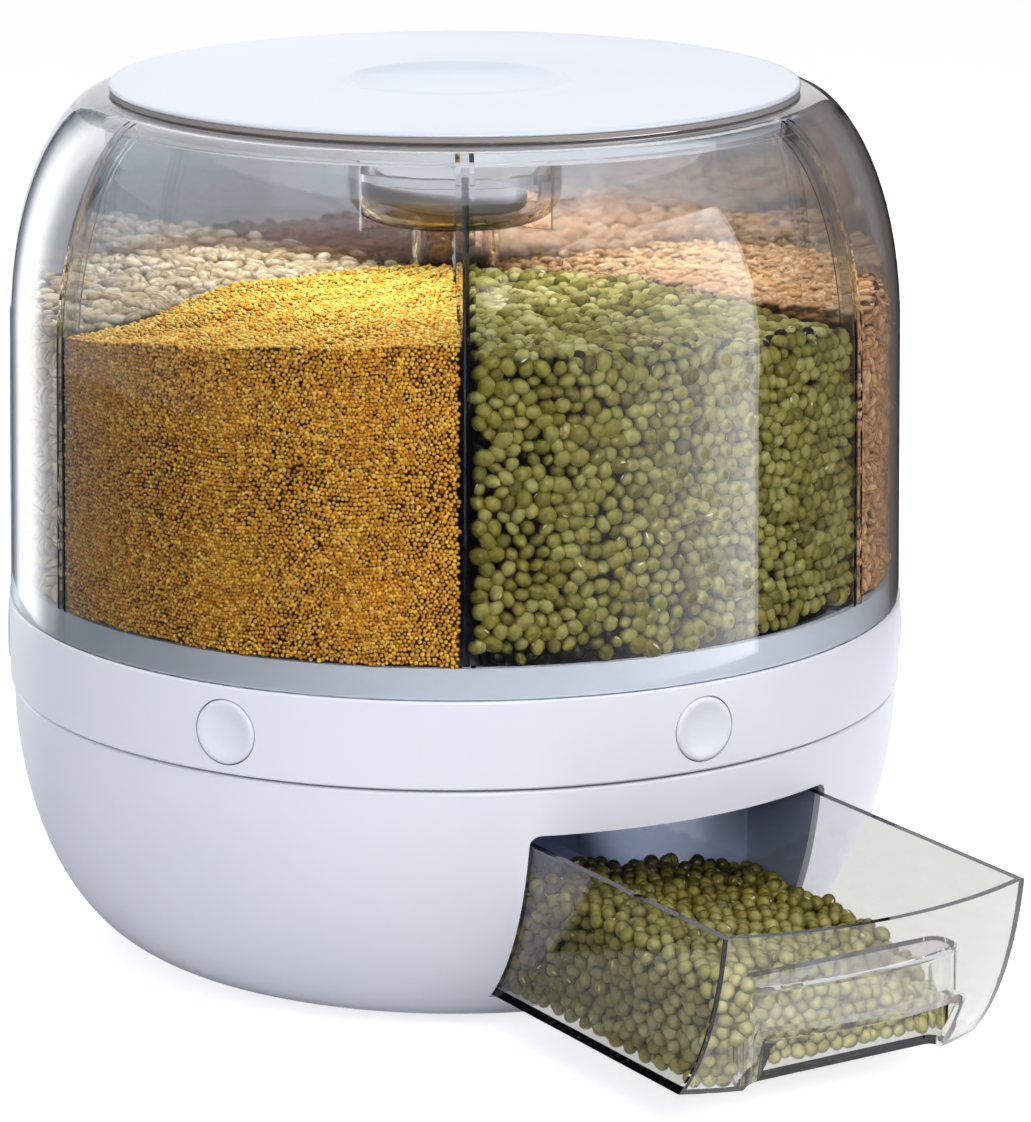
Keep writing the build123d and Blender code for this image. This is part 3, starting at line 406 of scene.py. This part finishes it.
# %% Spun pieces
def spun(name, profile, steps, place, material):
    """A closed profile of (radius, height) in millimetres, spun round Z, then set in place by a matrix."""
    bm = bmesh.new()
    verts = [bm.verts.new((r * MM, 0, h * MM)) for r, h in profile]
    edges = [bm.edges.new(pair) for pair in zip(verts, verts[1:])]
    bmesh.ops.spin(bm, geom=[*verts, *edges], cent=(0, 0, 0), axis=(0, 0, 1), angle=FULL_TURN,
                   steps=steps, use_merge=True)
    bmesh.ops.remove_doubles(bm, verts=bm.verts, dist=0.001 * MM)
    bmesh.ops.recalc_face_normals(bm, faces=bm.faces)
    bmesh.ops.transform(bm, matrix=place, verts=bm.verts)
    for face in bm.faces:
        face.smooth = True
    return to_object(name, bm, material)


def pointing_out(angle, radius, height):
    """Matrix that turns Z outwards at this angle and moves the origin to this radius and height."""
    a = math.radians(angle)
    out = Vector((math.cos(a), math.sin(a), 0))
    across = Vector((-math.sin(a), math.cos(a), 0))
    turn = Matrix((across, out.cross(across), out)).transposed().to_4x4()
    return Matrix.Translation(out * radius * MM + Vector((0, 0, height * MM))) @ turn


BUTTON_FACE = 130.4
button_low, button_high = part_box("button_1")
BUTTON_HEIGHT = (button_low.z + button_high.z) / 2 / MM
button_profile = [(0, -1.05), (1.6, -1.02), (3.2, -0.92), (4.6, -0.74), (5.7, -0.5), (6.6, -0.25),
                  (7.3, -0.08), (7.9, 0), (8.35, -0.05), (8.7, -0.22), (8.92, -0.5), (9, -0.9), (9, -5.6),
                  (7.5, -5.6), (7.5, -1.9), (4, -1.9), (4, -5.6), (0, -5.6)]
for n in range(6):
    place = pointing_out(-90 + 60 * n, BUTTON_FACE, BUTTON_HEIGHT)
    button = spun(f"button_dish_{n + 1}", button_profile, 48, place, abs_button)
    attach(button, f"button_unit_{n + 1}")
    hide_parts(f"button_{n + 1}")

LID_TOP = 250.8
lid_profile = [(0, -2.4), (12, -2.4), (20, -2.36), (23.5, -2.15), (26, -1.6), (28, -0.85), (29.4, -0.1),
               (30.2, 0.34), (31, 0.48), (31.8, 0.34), (32.8, 0.08), (34, 0), (60, 0), (96.4, 0),
               (97.6, -0.08), (98.4, -0.32), (98.75, -0.7), (98.7, -1.15), (98.3, -1.42), (97.6, -1.5),
               (31.5, -1.5), (25, -3.9), (0, -3.9)]
lid = spun("lid_disc", lid_profile, 160, Matrix.Translation((0, 0, LID_TOP * MM)), abs_lid)
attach(lid, "lid")
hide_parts("lid_panel")
print("buttons at", round(BUTTON_HEIGHT, 2), "mm, lid", [round(d / MM, 1) for d in lid.dimensions], "mm")

# %% [markdown]
# ## Grain: how it is laid
# A full compartment shows thousands of seeds, but only its skin is seen, against the clear wall and on top.
# `spread` lays places on a flat sheet as a honeycomb, bends and shakes it, and pushes neighbours apart
# again, which gives the close but rowless packing of poured grain. The sheet is then rolled onto the wall
# or laid on the heap.

# %% Places for grain
ROW_STEP = 0.87         # rows of a honeycomb lie this far apart, in pitches


def spread(wide, high, pitch, rng):
    """Places about one pitch apart on a sheet, packed without rows."""
    rows = int(high / (pitch * ROW_STEP)) + 4
    columns = int(wide / pitch) + 4
    row, column = np.mgrid[0:rows, 0:columns].astype(float)
    x = (column + 0.5 * (row % 2) - 1) * pitch
    y = (row - 1) * pitch * ROW_STEP
    a, b, c, d = rng.uniform(0, FULL_TURN, 4)
    bend = min(0.55 * pitch, 1.0)
    x, y = (x + bend * np.sin(y / (4.1 * pitch) + a) + bend * np.sin(x / (5.3 * pitch) + b),
            y + bend * np.sin(x / (4.7 * pitch) + c) + bend * np.sin(y / (6.1 * pitch) + d))
    places = np.stack([x, y], axis=-1)
    places += rng.uniform(-0.42, 0.42, places.shape) * pitch
    odd = (np.arange(rows) % 2).astype(bool)
    for _ in range(8):
        for down, across in ((0, 1), (1, 0), (1, 1), (1, -1)):
            here = places[: rows - down, max(0, -across): columns - max(0, across)]
            there = places[down:, max(0, across): columns + min(0, across)]
            gap = there - here
            length = np.linalg.norm(gap, axis=-1, keepdims=True) + 1e-9
            push = gap / length * np.clip(pitch * 0.97 - length, 0, None) * 0.3
            if across and down:
                near = odd[: rows - down] if across > 0 else ~odd[: rows - down]
                push = push * near[:, None, None]
            here -= push
            there += push
    flat = places.reshape(-1, 2)
    inside = (flat[:, 0] > 0) & (flat[:, 0] < wide) & (flat[:, 1] > 0) & (flat[:, 1] < high)
    return flat[inside]


def turned_to(normals, rng, tilt):
    """Euler angles that lay a grain's flat side on each normal, turned and tilted at random."""
    lean = normals + rng.normal(0, tilt, normals.shape)
    angles = []
    for up, side in zip(lean, rng.normal(0, 1, normals.shape)):
        up = Vector(up).normalized()
        across = up.cross(Vector(side)).normalized()
        angles.append(Matrix((across, up.cross(across), up)).transposed().to_euler())
    return np.array(angles)


test_sheet = spread(60, 40, 4.5, np.random.default_rng(1))
print("a 60 x 40 mm sheet holds", len(test_sheet), "beans")

# %% [markdown]
# ## Grain: how it is scattered
# Each heap starts as bare points that carry three attributes: how the grain is turned, its size and a
# shade: a random tone with painted light and shade for where the grain lies. Geometry nodes put a copy of
# one low-poly grain on every point and make the copies real, and the result is stored as an ordinary mesh.
# The shade stays on its vertices for the material, and so does `out`: how far a vertex stands out of the
# heap, or towards the lamps. It paints shade on a grain's flanks, where its neighbours shut out the light.

# %% Scatter
def scatter_nodes(grain):
    """Geometry nodes that put a real copy of this grain on every point."""
    group = bpy.data.node_groups.new("scatter_" + grain.name, "GeometryNodeTree")
    group.interface.new_socket("Geometry", in_out="INPUT", socket_type="NodeSocketGeometry")
    group.interface.new_socket("Geometry", in_out="OUTPUT", socket_type="NodeSocketGeometry")
    points = group.nodes.new("NodeGroupInput")
    seed = node(group, "GeometryNodeObjectInfo", {"Object": grain})
    turn = node(group, "GeometryNodeInputNamedAttribute", {"Name": "turn"}, data_type="FLOAT_VECTOR")
    size = node(group, "GeometryNodeInputNamedAttribute", {"Name": "size"}, data_type="FLOAT_VECTOR")
    spin = node(group, "FunctionNodeEulerToRotation", {"Euler": turn.outputs["Attribute"]})
    copies = node(group, "GeometryNodeInstanceOnPoints",
                  {"Points": points.outputs[0], "Instance": seed.outputs["Geometry"],
                   "Rotation": spin.outputs[0], "Scale": size.outputs["Attribute"]})
    real = node(group, "GeometryNodeRealizeInstances", {"Geometry": copies.outputs[0]})
    end = group.nodes.new("NodeGroupOutput")
    group.links.new(real.outputs[0], end.inputs[0])
    return group


def scatter(name, grain, places, normals, shades, rng, tilt, body, vary=0.12, outward=None):
    """A mesh of grains at these places, in millimetres, that rides on a body.

    Outward is the way a grain's painted shade turns lightest, where that isn't along the normals.
    """
    mesh = bpy.data.meshes.new(name + "_points")
    mesh.from_pydata([tuple(p) for p in places * MM], [], [])
    count = len(places)
    sizes = rng.normal(1, vary, (count, 1)).clip(0.72, 1.25) * rng.normal(1, vary / 3, (count, 3))
    for attribute, kind, values in (
        ("turn", "FLOAT_VECTOR", turned_to(normals, rng, tilt)),
        ("size", "FLOAT_VECTOR", sizes),
        ("shade", "FLOAT", shades),
    ):
        field = "vector" if kind == "FLOAT_VECTOR" else "value"
        written = mesh.attributes.new(attribute, kind, "POINT")
        written.data.foreach_set(field, values.astype(np.float32).ravel())
    points = bpy.data.objects.new(name + "_points", mesh)
    scene.collection.objects.link(points)
    points.modifiers.new("scatter", "NODES").node_group = scatter_nodes(grain)
    depsgraph = bpy.context.evaluated_depsgraph_get()
    finished = bpy.data.meshes.new_from_object(points.evaluated_get(depsgraph), depsgraph=depsgraph)
    finished.name = name
    bpy.data.objects.remove(points)
    corners = np.empty(len(finished.vertices) * 3, dtype=np.float32)
    finished.vertices.foreach_get("co", corners)
    from_centre = corners.reshape(count, -1, 3) / MM - places[:, None, :]
    facing = normals if outward is None else outward
    half_thick = sum(grain.dimensions[1:]) / 4 / MM
    out = (from_centre * facing[:, None, :]).sum(-1) / half_thick
    written = finished.attributes.new("out", "FLOAT", "POINT")
    written.data.foreach_set("value", out.astype(np.float32).ravel())
    heap = bpy.data.objects.new(name, finished)
    scene.collection.objects.link(heap)
    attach(heap, body)
    print(f"{name}: {count} grains, {len(finished.polygons)} faces")
    return heap


# %% [markdown]
# ## Grain: six seeds
# Each seed starts as an icosphere, the roundest shape for its few faces, squeezed to its real size. Mung
# beans are short and fat with a pale scar, which shows on some of them, millet is nearly round, barley is
# long with a crease, and so on.

# %% Seed shapes and skins
FLECK = 0.24                    # how much darker or lighter a fleck makes a grain
BURIED = 0.15                   # the light left on a side that is deep in the heap
SCAR_WAY = (0.6, 1.0, 1.9)      # stretches the scar along the grain
SCAR_PLACE = (0.0, -1.0, 0.0)
SCAR_SHARE = 0.4                # the share of grains that show one


def seed_skin(name, stops, roughness, scar=None, crease=None, coat=0.0, sheen=0.3):
    """A grain's skin: one shade each, fine flecks, and a scar or a crease at a fixed place on the grain."""
    material, tree, out = blank_material(name)
    shade = node(tree, "ShaderNodeAttribute", attribute_name="shade").outputs["Fac"]
    local = node(tree, "ShaderNodeAttribute", attribute_name="skin").outputs["Vector"]
    place = node(tree, "ShaderNodeTexCoord").outputs["Object"]
    spots = node(tree, "ShaderNodeTexNoise", {"Vector": place, "Scale": 1000 / 0.9, "Detail": 2.0})
    shifted = node(tree, "ShaderNodeMath", {0: spots.outputs["Fac"], 1: 0.5}, operation="SUBTRACT")
    mixed = node(tree, "ShaderNodeMath", {0: shifted.outputs[0], 1: FLECK, 2: shade},
                 operation="MULTIPLY_ADD")
    colour = ramp(tree, mixed.outputs[0], stops)
    out_of_heap = node(tree, "ShaderNodeAttribute", attribute_name="out").outputs["Fac"]
    open_sky = node(tree, "ShaderNodeMapRange", {"Value": out_of_heap, "From Min": -0.2, "From Max": 0.85,
                                                 "To Min": BURIED, "To Max": 1.0}).outputs[0]
    colour = node(tree, "ShaderNodeMix", {0: 1.0, 6: colour, 7: open_sky}, data_type="RGBA",
                  blend_type="MULTIPLY").outputs[2]
    if scar:
        long_way = node(tree, "ShaderNodeVectorMath", {0: local, 1: SCAR_WAY}, operation="MULTIPLY")
        spot = node(tree, "ShaderNodeVectorMath", {0: long_way.outputs[0], 1: SCAR_PLACE},
                    operation="DISTANCE")
        mark = node(tree, "ShaderNodeMapRange",
                    {"Value": spot.outputs["Value"], "From Min": 0.26, "From Max": 0.18})
        many = node(tree, "ShaderNodeMath", {0: shade, 1: 7.0}, operation="MULTIPLY")
        part = node(tree, "ShaderNodeMath", {0: many.outputs[0]}, operation="FRACT")
        some = node(tree, "ShaderNodeMath", {0: part.outputs[0], 1: SCAR_SHARE}, operation="LESS_THAN")
        both = node(tree, "ShaderNodeMath", {0: mark.outputs[0], 1: some.outputs[0]}, operation="MULTIPLY")
        colour = node(tree, "ShaderNodeMix", {0: both.outputs[0], 6: colour, 7: linear(scar)},
                      data_type="RGBA").outputs[2]
    if crease:
        split = node(tree, "ShaderNodeSeparateXYZ", {0: local})
        across = node(tree, "ShaderNodeMath", {0: split.outputs["Y"]}, operation="ABSOLUTE")
        line = node(tree, "ShaderNodeMapRange",
                    {"Value": across.outputs[0], "From Min": 0.22, "From Max": 0.05})
        top = node(tree, "ShaderNodeMath", {0: split.outputs["Z"], 1: 0.0}, operation="GREATER_THAN")
        both = node(tree, "ShaderNodeMath", {0: line.outputs[0], 1: top.outputs[0]}, operation="MULTIPLY")
        colour = node(tree, "ShaderNodeMix", {0: both.outputs[0], 6: colour, 7: linear(crease)},
                      data_type="RGBA").outputs[2]
    rise = node(tree, "ShaderNodeBump",
                {"Height": spots.outputs["Fac"], "Strength": 0.25, "Distance": 0.05 * MM})
    body = node(tree, "ShaderNodeBsdfPrincipled",
                {"Base Color": colour, "Roughness": roughness, "Normal": rise.outputs[0], "IOR": 1.5,
                 "Specular IOR Level": sheen, "Coat Weight": coat, "Coat Roughness": 0.2})
    tree.links.new(body.outputs[0], out.inputs["Surface"])
    return material


def seed(name, size, skin, rounds=2, pinch=0.0):
    """One grain of this length, width and thickness, in millimetres; pinch narrows its ends."""
    bm = bmesh.new()
    bmesh.ops.create_icosphere(bm, subdivisions=rounds, radius=1.0)
    layer = bm.verts.layers.float_vector.new("skin")
    for vert in bm.verts:
        vert[layer] = vert.co.copy()
        squeeze = 1 - pinch * vert.co.x ** 2
        vert.co = Vector((vert.co.x, vert.co.y * squeeze, vert.co.z * squeeze))
    bmesh.ops.scale(bm, vec=[s * MM / 2 for s in size], verts=bm.verts)
    mesh = bpy.data.meshes.new(name)
    for face in bm.faces:
        face.smooth = True
    bm.to_mesh(mesh)
    bm.free()
    mesh.materials.append(skin)
    grain = bpy.data.objects.new(name, mesh)
    print(name, "seed:", len(mesh.polygons), "faces")
    return grain


# The low end of each ramp is painted shade, for grains deep in the heap.
mung_skin = seed_skin("mung_bean_skin",
                      [(0.0, "#0A0800"), (0.15, "#1E1903"), (0.3, "#4C430C"), (0.55, "#857A2C"),
                       (0.8, "#9C9450"), (0.97, "#BAB374"), (1.0, "#80521C")],
                      0.34, scar="#D9D4AC", coat=0.12, sheen=0.35)
millet_skin = seed_skin("millet_hull",
                        [(0.0, "#7A4E0C"), (0.25, "#D08A22"), (0.5, "#F2A834"), (0.8, "#FFCE54"),
                         (1.0, "#FFEC8C")],
                        0.45, sheen=0.15)
barley_skin = seed_skin("pearl_barley_bran",
                        [(0.0, "#6A5230"), (0.25, "#C4A678"), (0.6, "#EBD3AA"), (1.0, "#FFF2D8")],
                        0.5, crease="#8A6844", sheen=0.2)
red_skin = seed_skin("red_bean_skin",
                     [(0.0, "#160406"), (0.3, "#3A0C10"), (0.7, "#5C181C"), (1.0, "#7C302C")],
                     0.18, scar="#E8D8D0", coat=0.8)
soy_skin = seed_skin("soy_bean_skin",
                     [(0.0, "#6A4028"), (0.25, "#CC946C"), (0.6, "#EBBC96"), (1.0, "#FFE0C4")],
                     0.34, scar="#A06848", coat=0.2)
oat_skin = seed_skin("oat_groat_bran",
                     [(0.0, "#5A3418"), (0.25, "#B87C46"), (0.6, "#E6AE74"), (1.0, "#FFDAAC")],
                     0.5, crease="#8A5A34", sheen=0.2)
mung = seed("mung_bean", (5.5, 4.4, 4.2), mung_skin)
millet = seed("millet_grain", (1.42, 1.36, 1.3), millet_skin, rounds=1)
barley = seed("barley_grain", (6.2, 4.0, 3.4), barley_skin, pinch=0.25)
red_bean = seed("red_bean", (5.6, 4.4, 4.3), red_skin)
soy_bean = seed("soy_bean", (7.2, 6.6, 6.4), soy_skin)
oat = seed("oat_groat", (5.2, 2.4, 2.1), oat_skin, pinch=0.35)

# %% [markdown]
# ## Grain: six heaps
# A heap is highest in the middle, where it was poured, and lower at the wall. Its levels are its height in
# the middle, and at the wall's left, middle and right, as in the photograph. Grains on top are painted
# lighter and those on the wall darker: painted light and shade, as the light falls from above. Where
# grains are large, a second layer, painted nearly black for the shade between them, fills the gaps of the
# first. Under them lies a plain filler, painted in a dark shade of the same seed, so that no gap shows
# daylight.

# %% Compartments
HALF_SECTOR = 30        # half a compartment, in degrees
OUTER = 126.6           # inside of the clear wall, where the grain starts
TRAY_TOP = 109.0
HEAP_CREST = 65.0       # the heap is level inside this radius
BOARD_HALF = 0.9
BOARD_ROOM = 1.7        # from the boards' middle to the first grains on the wall
COLUMN = 14.0           # the centre column, with a little room
WALL_FOOT = 111.0
WALL_HIGH = 92.0        # more than the grain's height on the wall
TOP_SHEET = 150         # a square sheet that covers a compartment
TOP_MIDDLE = 70         # where its middle lies
RING_TOP = 102.5        # the barrel's side leans in from here up to the shoulder, and then curves in
RING_RADIUS = 127.0
LEAN = 1.3
SHOULDER = 180.0
SHOULDER_CENTRE = 94.3
SHOULDER_REACH = 31.4
SHOULDER_RISE = 68.2


def wall_radius(z):
    """Inside of the barrel at this height."""
    lean = RING_RADIUS - LEAN * (np.minimum(z, SHOULDER) - RING_TOP) / (SHOULDER - RING_TOP)
    over = np.clip((z - SHOULDER) / SHOULDER_RISE, 0, 0.98)
    return np.where(z > SHOULDER, SHOULDER_CENTRE + SHOULDER_REACH * np.sqrt(1 - over ** 2), lean)


def heap_level(compartment, radius, offset):
    """Height of the heap's surface at this radius and angle from the compartment's middle, in degrees."""
    inner, left, middle, right = compartment["levels"]
    u = offset / HALF_SECTOR
    outer = middle + (right - left) / 2 * u + ((right + left) / 2 - middle) * u ** 2
    t = np.clip((radius - HEAP_CREST) / (OUTER - HEAP_CREST), 0, 1)
    ripple = 0.9 * np.sin(radius / 9 + offset / 7 + compartment["angle"]) * np.sin(offset / 5 + radius / 23)
    return inner + (outer - inner) * t * t * (3 - 2 * t) + ripple


# gap is the filler's pair of colours, both painted shade: a dark tone of the seed, and a darker one between
# its cells
compartments = [
    dict(name="mung", angle=-90, grain=mung, pitch=4.15, tilt=0.5,
         levels=(198, 195.7, 193.5, 191.2), gap=("#1A1605", "#040301")),
    dict(name="oat", angle=-30, grain=oat, pitch=3.1, tilt=0.28,
         levels=(197, 194, 192, 190), gap=("#5A3A1E", "#2A180A")),
    dict(name="soy", angle=30, grain=soy_bean, pitch=6.5, tilt=0.8,
         levels=(197.5, 197, 197.5, 197), gap=("#5A3A24", "#2A180C")),
    dict(name="red", angle=90, grain=red_bean, pitch=4.7, tilt=0.6,
         levels=(197, 191, 190, 190), gap=("#180506", "#060101")),
    dict(name="barley", angle=150, grain=barley, pitch=4.6, tilt=0.3,
         levels=(196, 190, 190, 190), gap=("#5E492C", "#2C2010")),
    dict(name="millet", angle=-150, grain=millet, pitch=1.24, tilt=0.9,
         levels=(198.5, 188.5, 195.3, 198.4), gap=("#8A5A10", "#5A3406")),
]


def polar(angle_degrees, radius, z):
    """Points at this angle, radius and height."""
    a = np.radians(angle_degrees)
    return np.stack([radius * np.cos(a), radius * np.sin(a), z * np.ones_like(radius)], axis=-1)


def heap_layers(compartment, rng):
    """Places, normals and shades on the wall and on top. Places are in millimetres."""
    pitch = compartment["pitch"]
    half_arc = math.radians(HALF_SECTOR) * OUTER - BOARD_ROOM - pitch * 0.25
    walls, tops = [], []
    layers = 1 if pitch < 2 else 2
    # grains on the wall take a darker part of the ramp than those on top: painted shade, as less light gets
    # in through the wall
    shaded_wall_range = (0.25, 0.8) if layers == 1 else (0.36, 0.78)
    for layer in range(layers):
        sheet = spread(2 * half_arc, WALL_HIGH, pitch, rng)
        z = WALL_FOOT + pitch * 0.45 + sheet[:, 1]
        depth = pitch * (0.48 + 0.78 * layer) + rng.uniform(0, 0.12, len(z)) * pitch
        radius = wall_radius(z) - depth
        offset = np.degrees((sheet[:, 0] - half_arc) / OUTER)
        keep = z < heap_level(compartment, radius, offset) - pitch * 0.3
        angle = compartment["angle"] + offset
        # the second layer is painted nearly black: painted shade between the grains of the first
        shades = rng.uniform(*(shaded_wall_range if layer == 0 else (0, 0.12)), len(z))
        outwards = polar(angle, np.ones_like(radius), 0)
        walls.append((polar(angle, radius, z)[keep], outwards[keep], shades[keep]))
    for layer in range(layers):
        sheet = spread(TOP_SHEET, TOP_SHEET, pitch, rng) - TOP_SHEET / 2
        x, y = sheet[:, 0] + TOP_MIDDLE, sheet[:, 1]
        radius, offset = np.hypot(x, y), np.degrees(np.arctan2(y, x))
        level = heap_level(compartment, radius, offset)
        z = level - pitch * (0.4 + 0.8 * layer) + rng.uniform(-0.25, 0.25, len(x)) * pitch
        margin = BOARD_HALF + pitch * 0.45
        side = radius * np.sin(np.radians(HALF_SECTOR - np.abs(offset)))
        keep = (np.abs(offset) < HALF_SECTOR) & (side > margin) & (radius > COLUMN + pitch * 0.5)
        keep &= radius < wall_radius(z) - pitch * (0.5 if layer == 0 else 1.4)
        up = np.tile((0.0, 0.0, 1.0), (int(keep.sum()), 1))
        # on top, the first layer takes the light end of the ramp, painted light from above, and the second a
        # darker part, painted shade
        shades = rng.uniform(*((0.4, 1) if layer == 0 else (0.1, 0.4)), len(x))
        tops.append((polar(compartment["angle"] + offset, radius, z)[keep], up, shades[keep]))
    return walls, tops


for compartment in compartments:
    rng = np.random.default_rng(abs(compartment["angle"]) + len(compartment["name"]))
    walls, tops = heap_layers(compartment, rng)
    for part, layers in (("wall", walls), ("top", tops)):
        places, normals, shades = (np.concatenate(values) for values in zip(*layers))
        scatter(f"{compartment['name']}_{part}", compartment["grain"], places, normals, shades, rng,
                compartment["tilt"], "drum")

# %% [markdown]
# ## Grain: the filler
# A flat outline of the heap, which stands along one board, is spun round the axis to the other board. Its
# top corners are then moved to the heap's own height.

# %% Fillers
def shaded_filler_skin(name, colour, edge, grain_mm):
    """Grains too deep to model, painted in the shade they lie in: a cell pattern at the seed's size, darker
    at each cell's edge.
    """
    material, tree, out = blank_material(name)
    place = node(tree, "ShaderNodeTexCoord").outputs["Object"]
    cells = node(tree, "ShaderNodeTexVoronoi", {"Vector": place, "Scale": 1000 / grain_mm})
    tone = ramp(tree, cells.outputs["Distance"], [(0.0, colour), (0.8, edge)])
    bump = node(tree, "ShaderNodeBump",
                {"Height": cells.outputs["Distance"], "Distance": -0.3 * grain_mm * MM})
    body = node(tree, "ShaderNodeBsdfPrincipled",
                {"Base Color": tone, "Roughness": 0.8, "Normal": bump.outputs[0]})
    tree.links.new(body.outputs[0], out.inputs["Surface"])
    return material


def filler(compartment):
    """The solid heap under a compartment's grains."""
    pitch = compartment["pitch"]
    inset = max(pitch * 1.3, 2.4)
    bm = bmesh.new()
    inner, middle, outer, top = COLUMN + 2, 60, OUTER - 2 - inset, 190
    outline = [(inner, TRAY_TOP), (outer, TRAY_TOP), (outer, top), (HEAP_CREST + 28, top),
               (HEAP_CREST, top), (inner, top)]
    half = HALF_SECTOR - math.degrees((BOARD_HALF + pitch * 0.3) / middle)
    start = math.radians(compartment["angle"] - half)
    verts = [bm.verts.new((r * MM * math.cos(start), r * MM * math.sin(start), z * MM)) for r, z in outline]
    face = bm.faces.new(verts)
    bmesh.ops.spin(bm, geom=[face, *face.edges, *verts], cent=(0, 0, 0), axis=(0, 0, 1),
                   angle=math.radians(2 * half), steps=16, use_merge=False)
    for vert in bm.verts:
        if vert.co.z > (TRAY_TOP + 20) * MM:
            radius = vert.co.xy.length / MM
            offset = math.degrees(math.atan2(vert.co.y, vert.co.x)) - compartment["angle"]
            offset = (offset + 180) % 360 - 180
            vert.co.z = (heap_level(compartment, radius, offset) - inset) * MM
    bmesh.ops.recalc_face_normals(bm, faces=bm.faces)
    name = compartment["name"] + "_filler"
    made = to_object(name, bm, shaded_filler_skin(name + "_skin", *compartment["gap"], pitch))
    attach(made, "drum")
    return made


fillers = [filler(compartment) for compartment in compartments]
print("fillers:", [f.name for f in fillers])

# %% [markdown]
# ## Beans in the drawer
# What has fallen into the drawer lies as it fell: deep on the left, and thin at the front right. Here
# the whole heap is filled, because it is seen from the side, from above and through the front. The beans
# start as a close packing, are shaken, and then push each other apart, inside the walls, until they just
# touch.

# %% Drawer heap
DRAWER_PULL = 91.0
DRAWER_HALF = 45.9
DRAWER_FLOOR = 15.2
DRAWER_BACK = -85.2
POCKET_HALF = 34.0
POCKET_BACK = -99.6 - DRAWER_PULL
BOW_FOOT = 89.0         # the bowed front starts at this radius at its foot and reaches this far out
BOW_REACH = 37.8
BOW_TOP = 77.0
BOW_RISE = 73.3
LAYER_STEP = 0.82       # layers of a close packing lie this far apart, in pitches
PACKING_CORNER = (-50, -82)         # just outside the drawer's back left corner
TO_LAMPS = (-0.75, -0.55, 0.37)     # between the two lamps in front


def drawer_front(z):
    """Inside of the bowed front, from the axis of the closed drawer."""
    return BOW_FOOT + BOW_REACH * np.sqrt(1 - np.clip((BOW_TOP - z) / BOW_RISE, -1, 1) ** 2)


def drawer_level(x, y):
    """Height of the beans in the open drawer, as in the photograph."""
    back_left = np.clip(-x / 46, 0, 1) * np.clip((y + 125) / 40, 0, 1)
    front_right = np.clip((x + 10) / 50, 0, 1) * np.clip((-150 - y) / 40, 0, 1)
    return 40.5 - 0.2 * x - 6 * back_left - 16 * front_right


def inside_drawer(places, skin):
    """Moves places back inside the drawer's walls, this far from them."""
    x, y, z = places.T.copy()
    x = x.clip(-DRAWER_HALF + skin, DRAWER_HALF - skin)
    z = z.clip(DRAWER_FLOOR + skin, None)
    y = y.clip(None, DRAWER_BACK - skin)
    reach = np.hypot(x, y + DRAWER_PULL)
    allowed = drawer_front(z) - skin
    over = np.where(y + DRAWER_PULL < 0, np.maximum(reach / allowed, 1), 1)
    y = (y + DRAWER_PULL) / over - DRAWER_PULL
    in_pocket = (np.abs(x) < POCKET_HALF + skin) & (y < POCKET_BACK + skin)
    sideways = in_pocket & (POCKET_HALF + skin - np.abs(x) < POCKET_BACK + skin - y)
    x = np.where(sideways, np.sign(x) * (POCKET_HALF + skin), x)
    y = np.where(in_pocket & ~sideways, POCKET_BACK + skin, y)
    return np.stack([x, y, z], axis=-1)


def settle(places, gap, steps=7):
    """Pushes neighbours apart until they are this far from each other and inside the drawer."""
    for _ in range(steps):
        tree = KDTree(len(places))
        for index, place in enumerate(places):
            tree.insert(place, index)
        tree.balance()
        moved = places.copy()
        for index, place in enumerate(places):
            for spot, other, distance in tree.find_range(place, gap):
                if other > index:
                    push = (place - places[other]) * (0.4 * (gap - distance) / max(distance, 0.01))
                    moved[index] += push
                    moved[other] -= push
        places = inside_drawer(moved, 0.55 * gap)
    return places


rng = np.random.default_rng(7)
pitch = 4.05
drawer_mung = seed("drawer_mung_bean", (4.8, 4.15, 3.95), mung_skin)
layer, row, column = np.mgrid[0:12, 0:40, 0:26].astype(float)
lattice = np.stack([PACKING_CORNER[0] + (column + 0.5 * ((row + layer) % 2)) * pitch,
                    PACKING_CORNER[1] - (row + (layer % 2) / 3) * pitch * ROW_STEP,
                    DRAWER_FLOOR + 2 + layer * pitch * LAYER_STEP], axis=-1).reshape(-1, 3)
lattice += rng.uniform(-0.3, 0.3, lattice.shape) * pitch
x, y, z = lattice.T
poured = lattice[(np.abs(x) < DRAWER_HALF - 1) & (y < DRAWER_BACK - 1) & (z < drawer_level(x, y))
                 & (np.hypot(x, y + DRAWER_PULL) < drawer_front(z) - 1)
                 & ~((np.abs(x) < POCKET_HALF + 1) & (y < POCKET_BACK + 1))]
poured = settle(poured, 0.97 * pitch)
half_way = np.median(poured[:, 1])
for part, chosen in (("back", poured[:, 1] > half_way), ("front", poured[:, 1] <= half_way)):
    beans = poured[chosen]
    # beans nearer the front take a lighter part of the ramp: painted light, as the lamps shine in at the
    # front, and painted shade at the back
    front_light = np.clip((-95 - beans[:, 1]) / 90, 0, 1)
    shades = np.clip(rng.uniform(0.12, 0.45, len(beans)) + 0.62 * front_light, 0, 0.93)
    facing = np.tile(TO_LAMPS, (len(beans), 1))
    scatter("drawer_beans_" + part, drawer_mung, beans, rng.normal(0, 1, beans.shape), shades, rng, 0.5,
            "drawer_tray", vary=0.06, outward=facing)
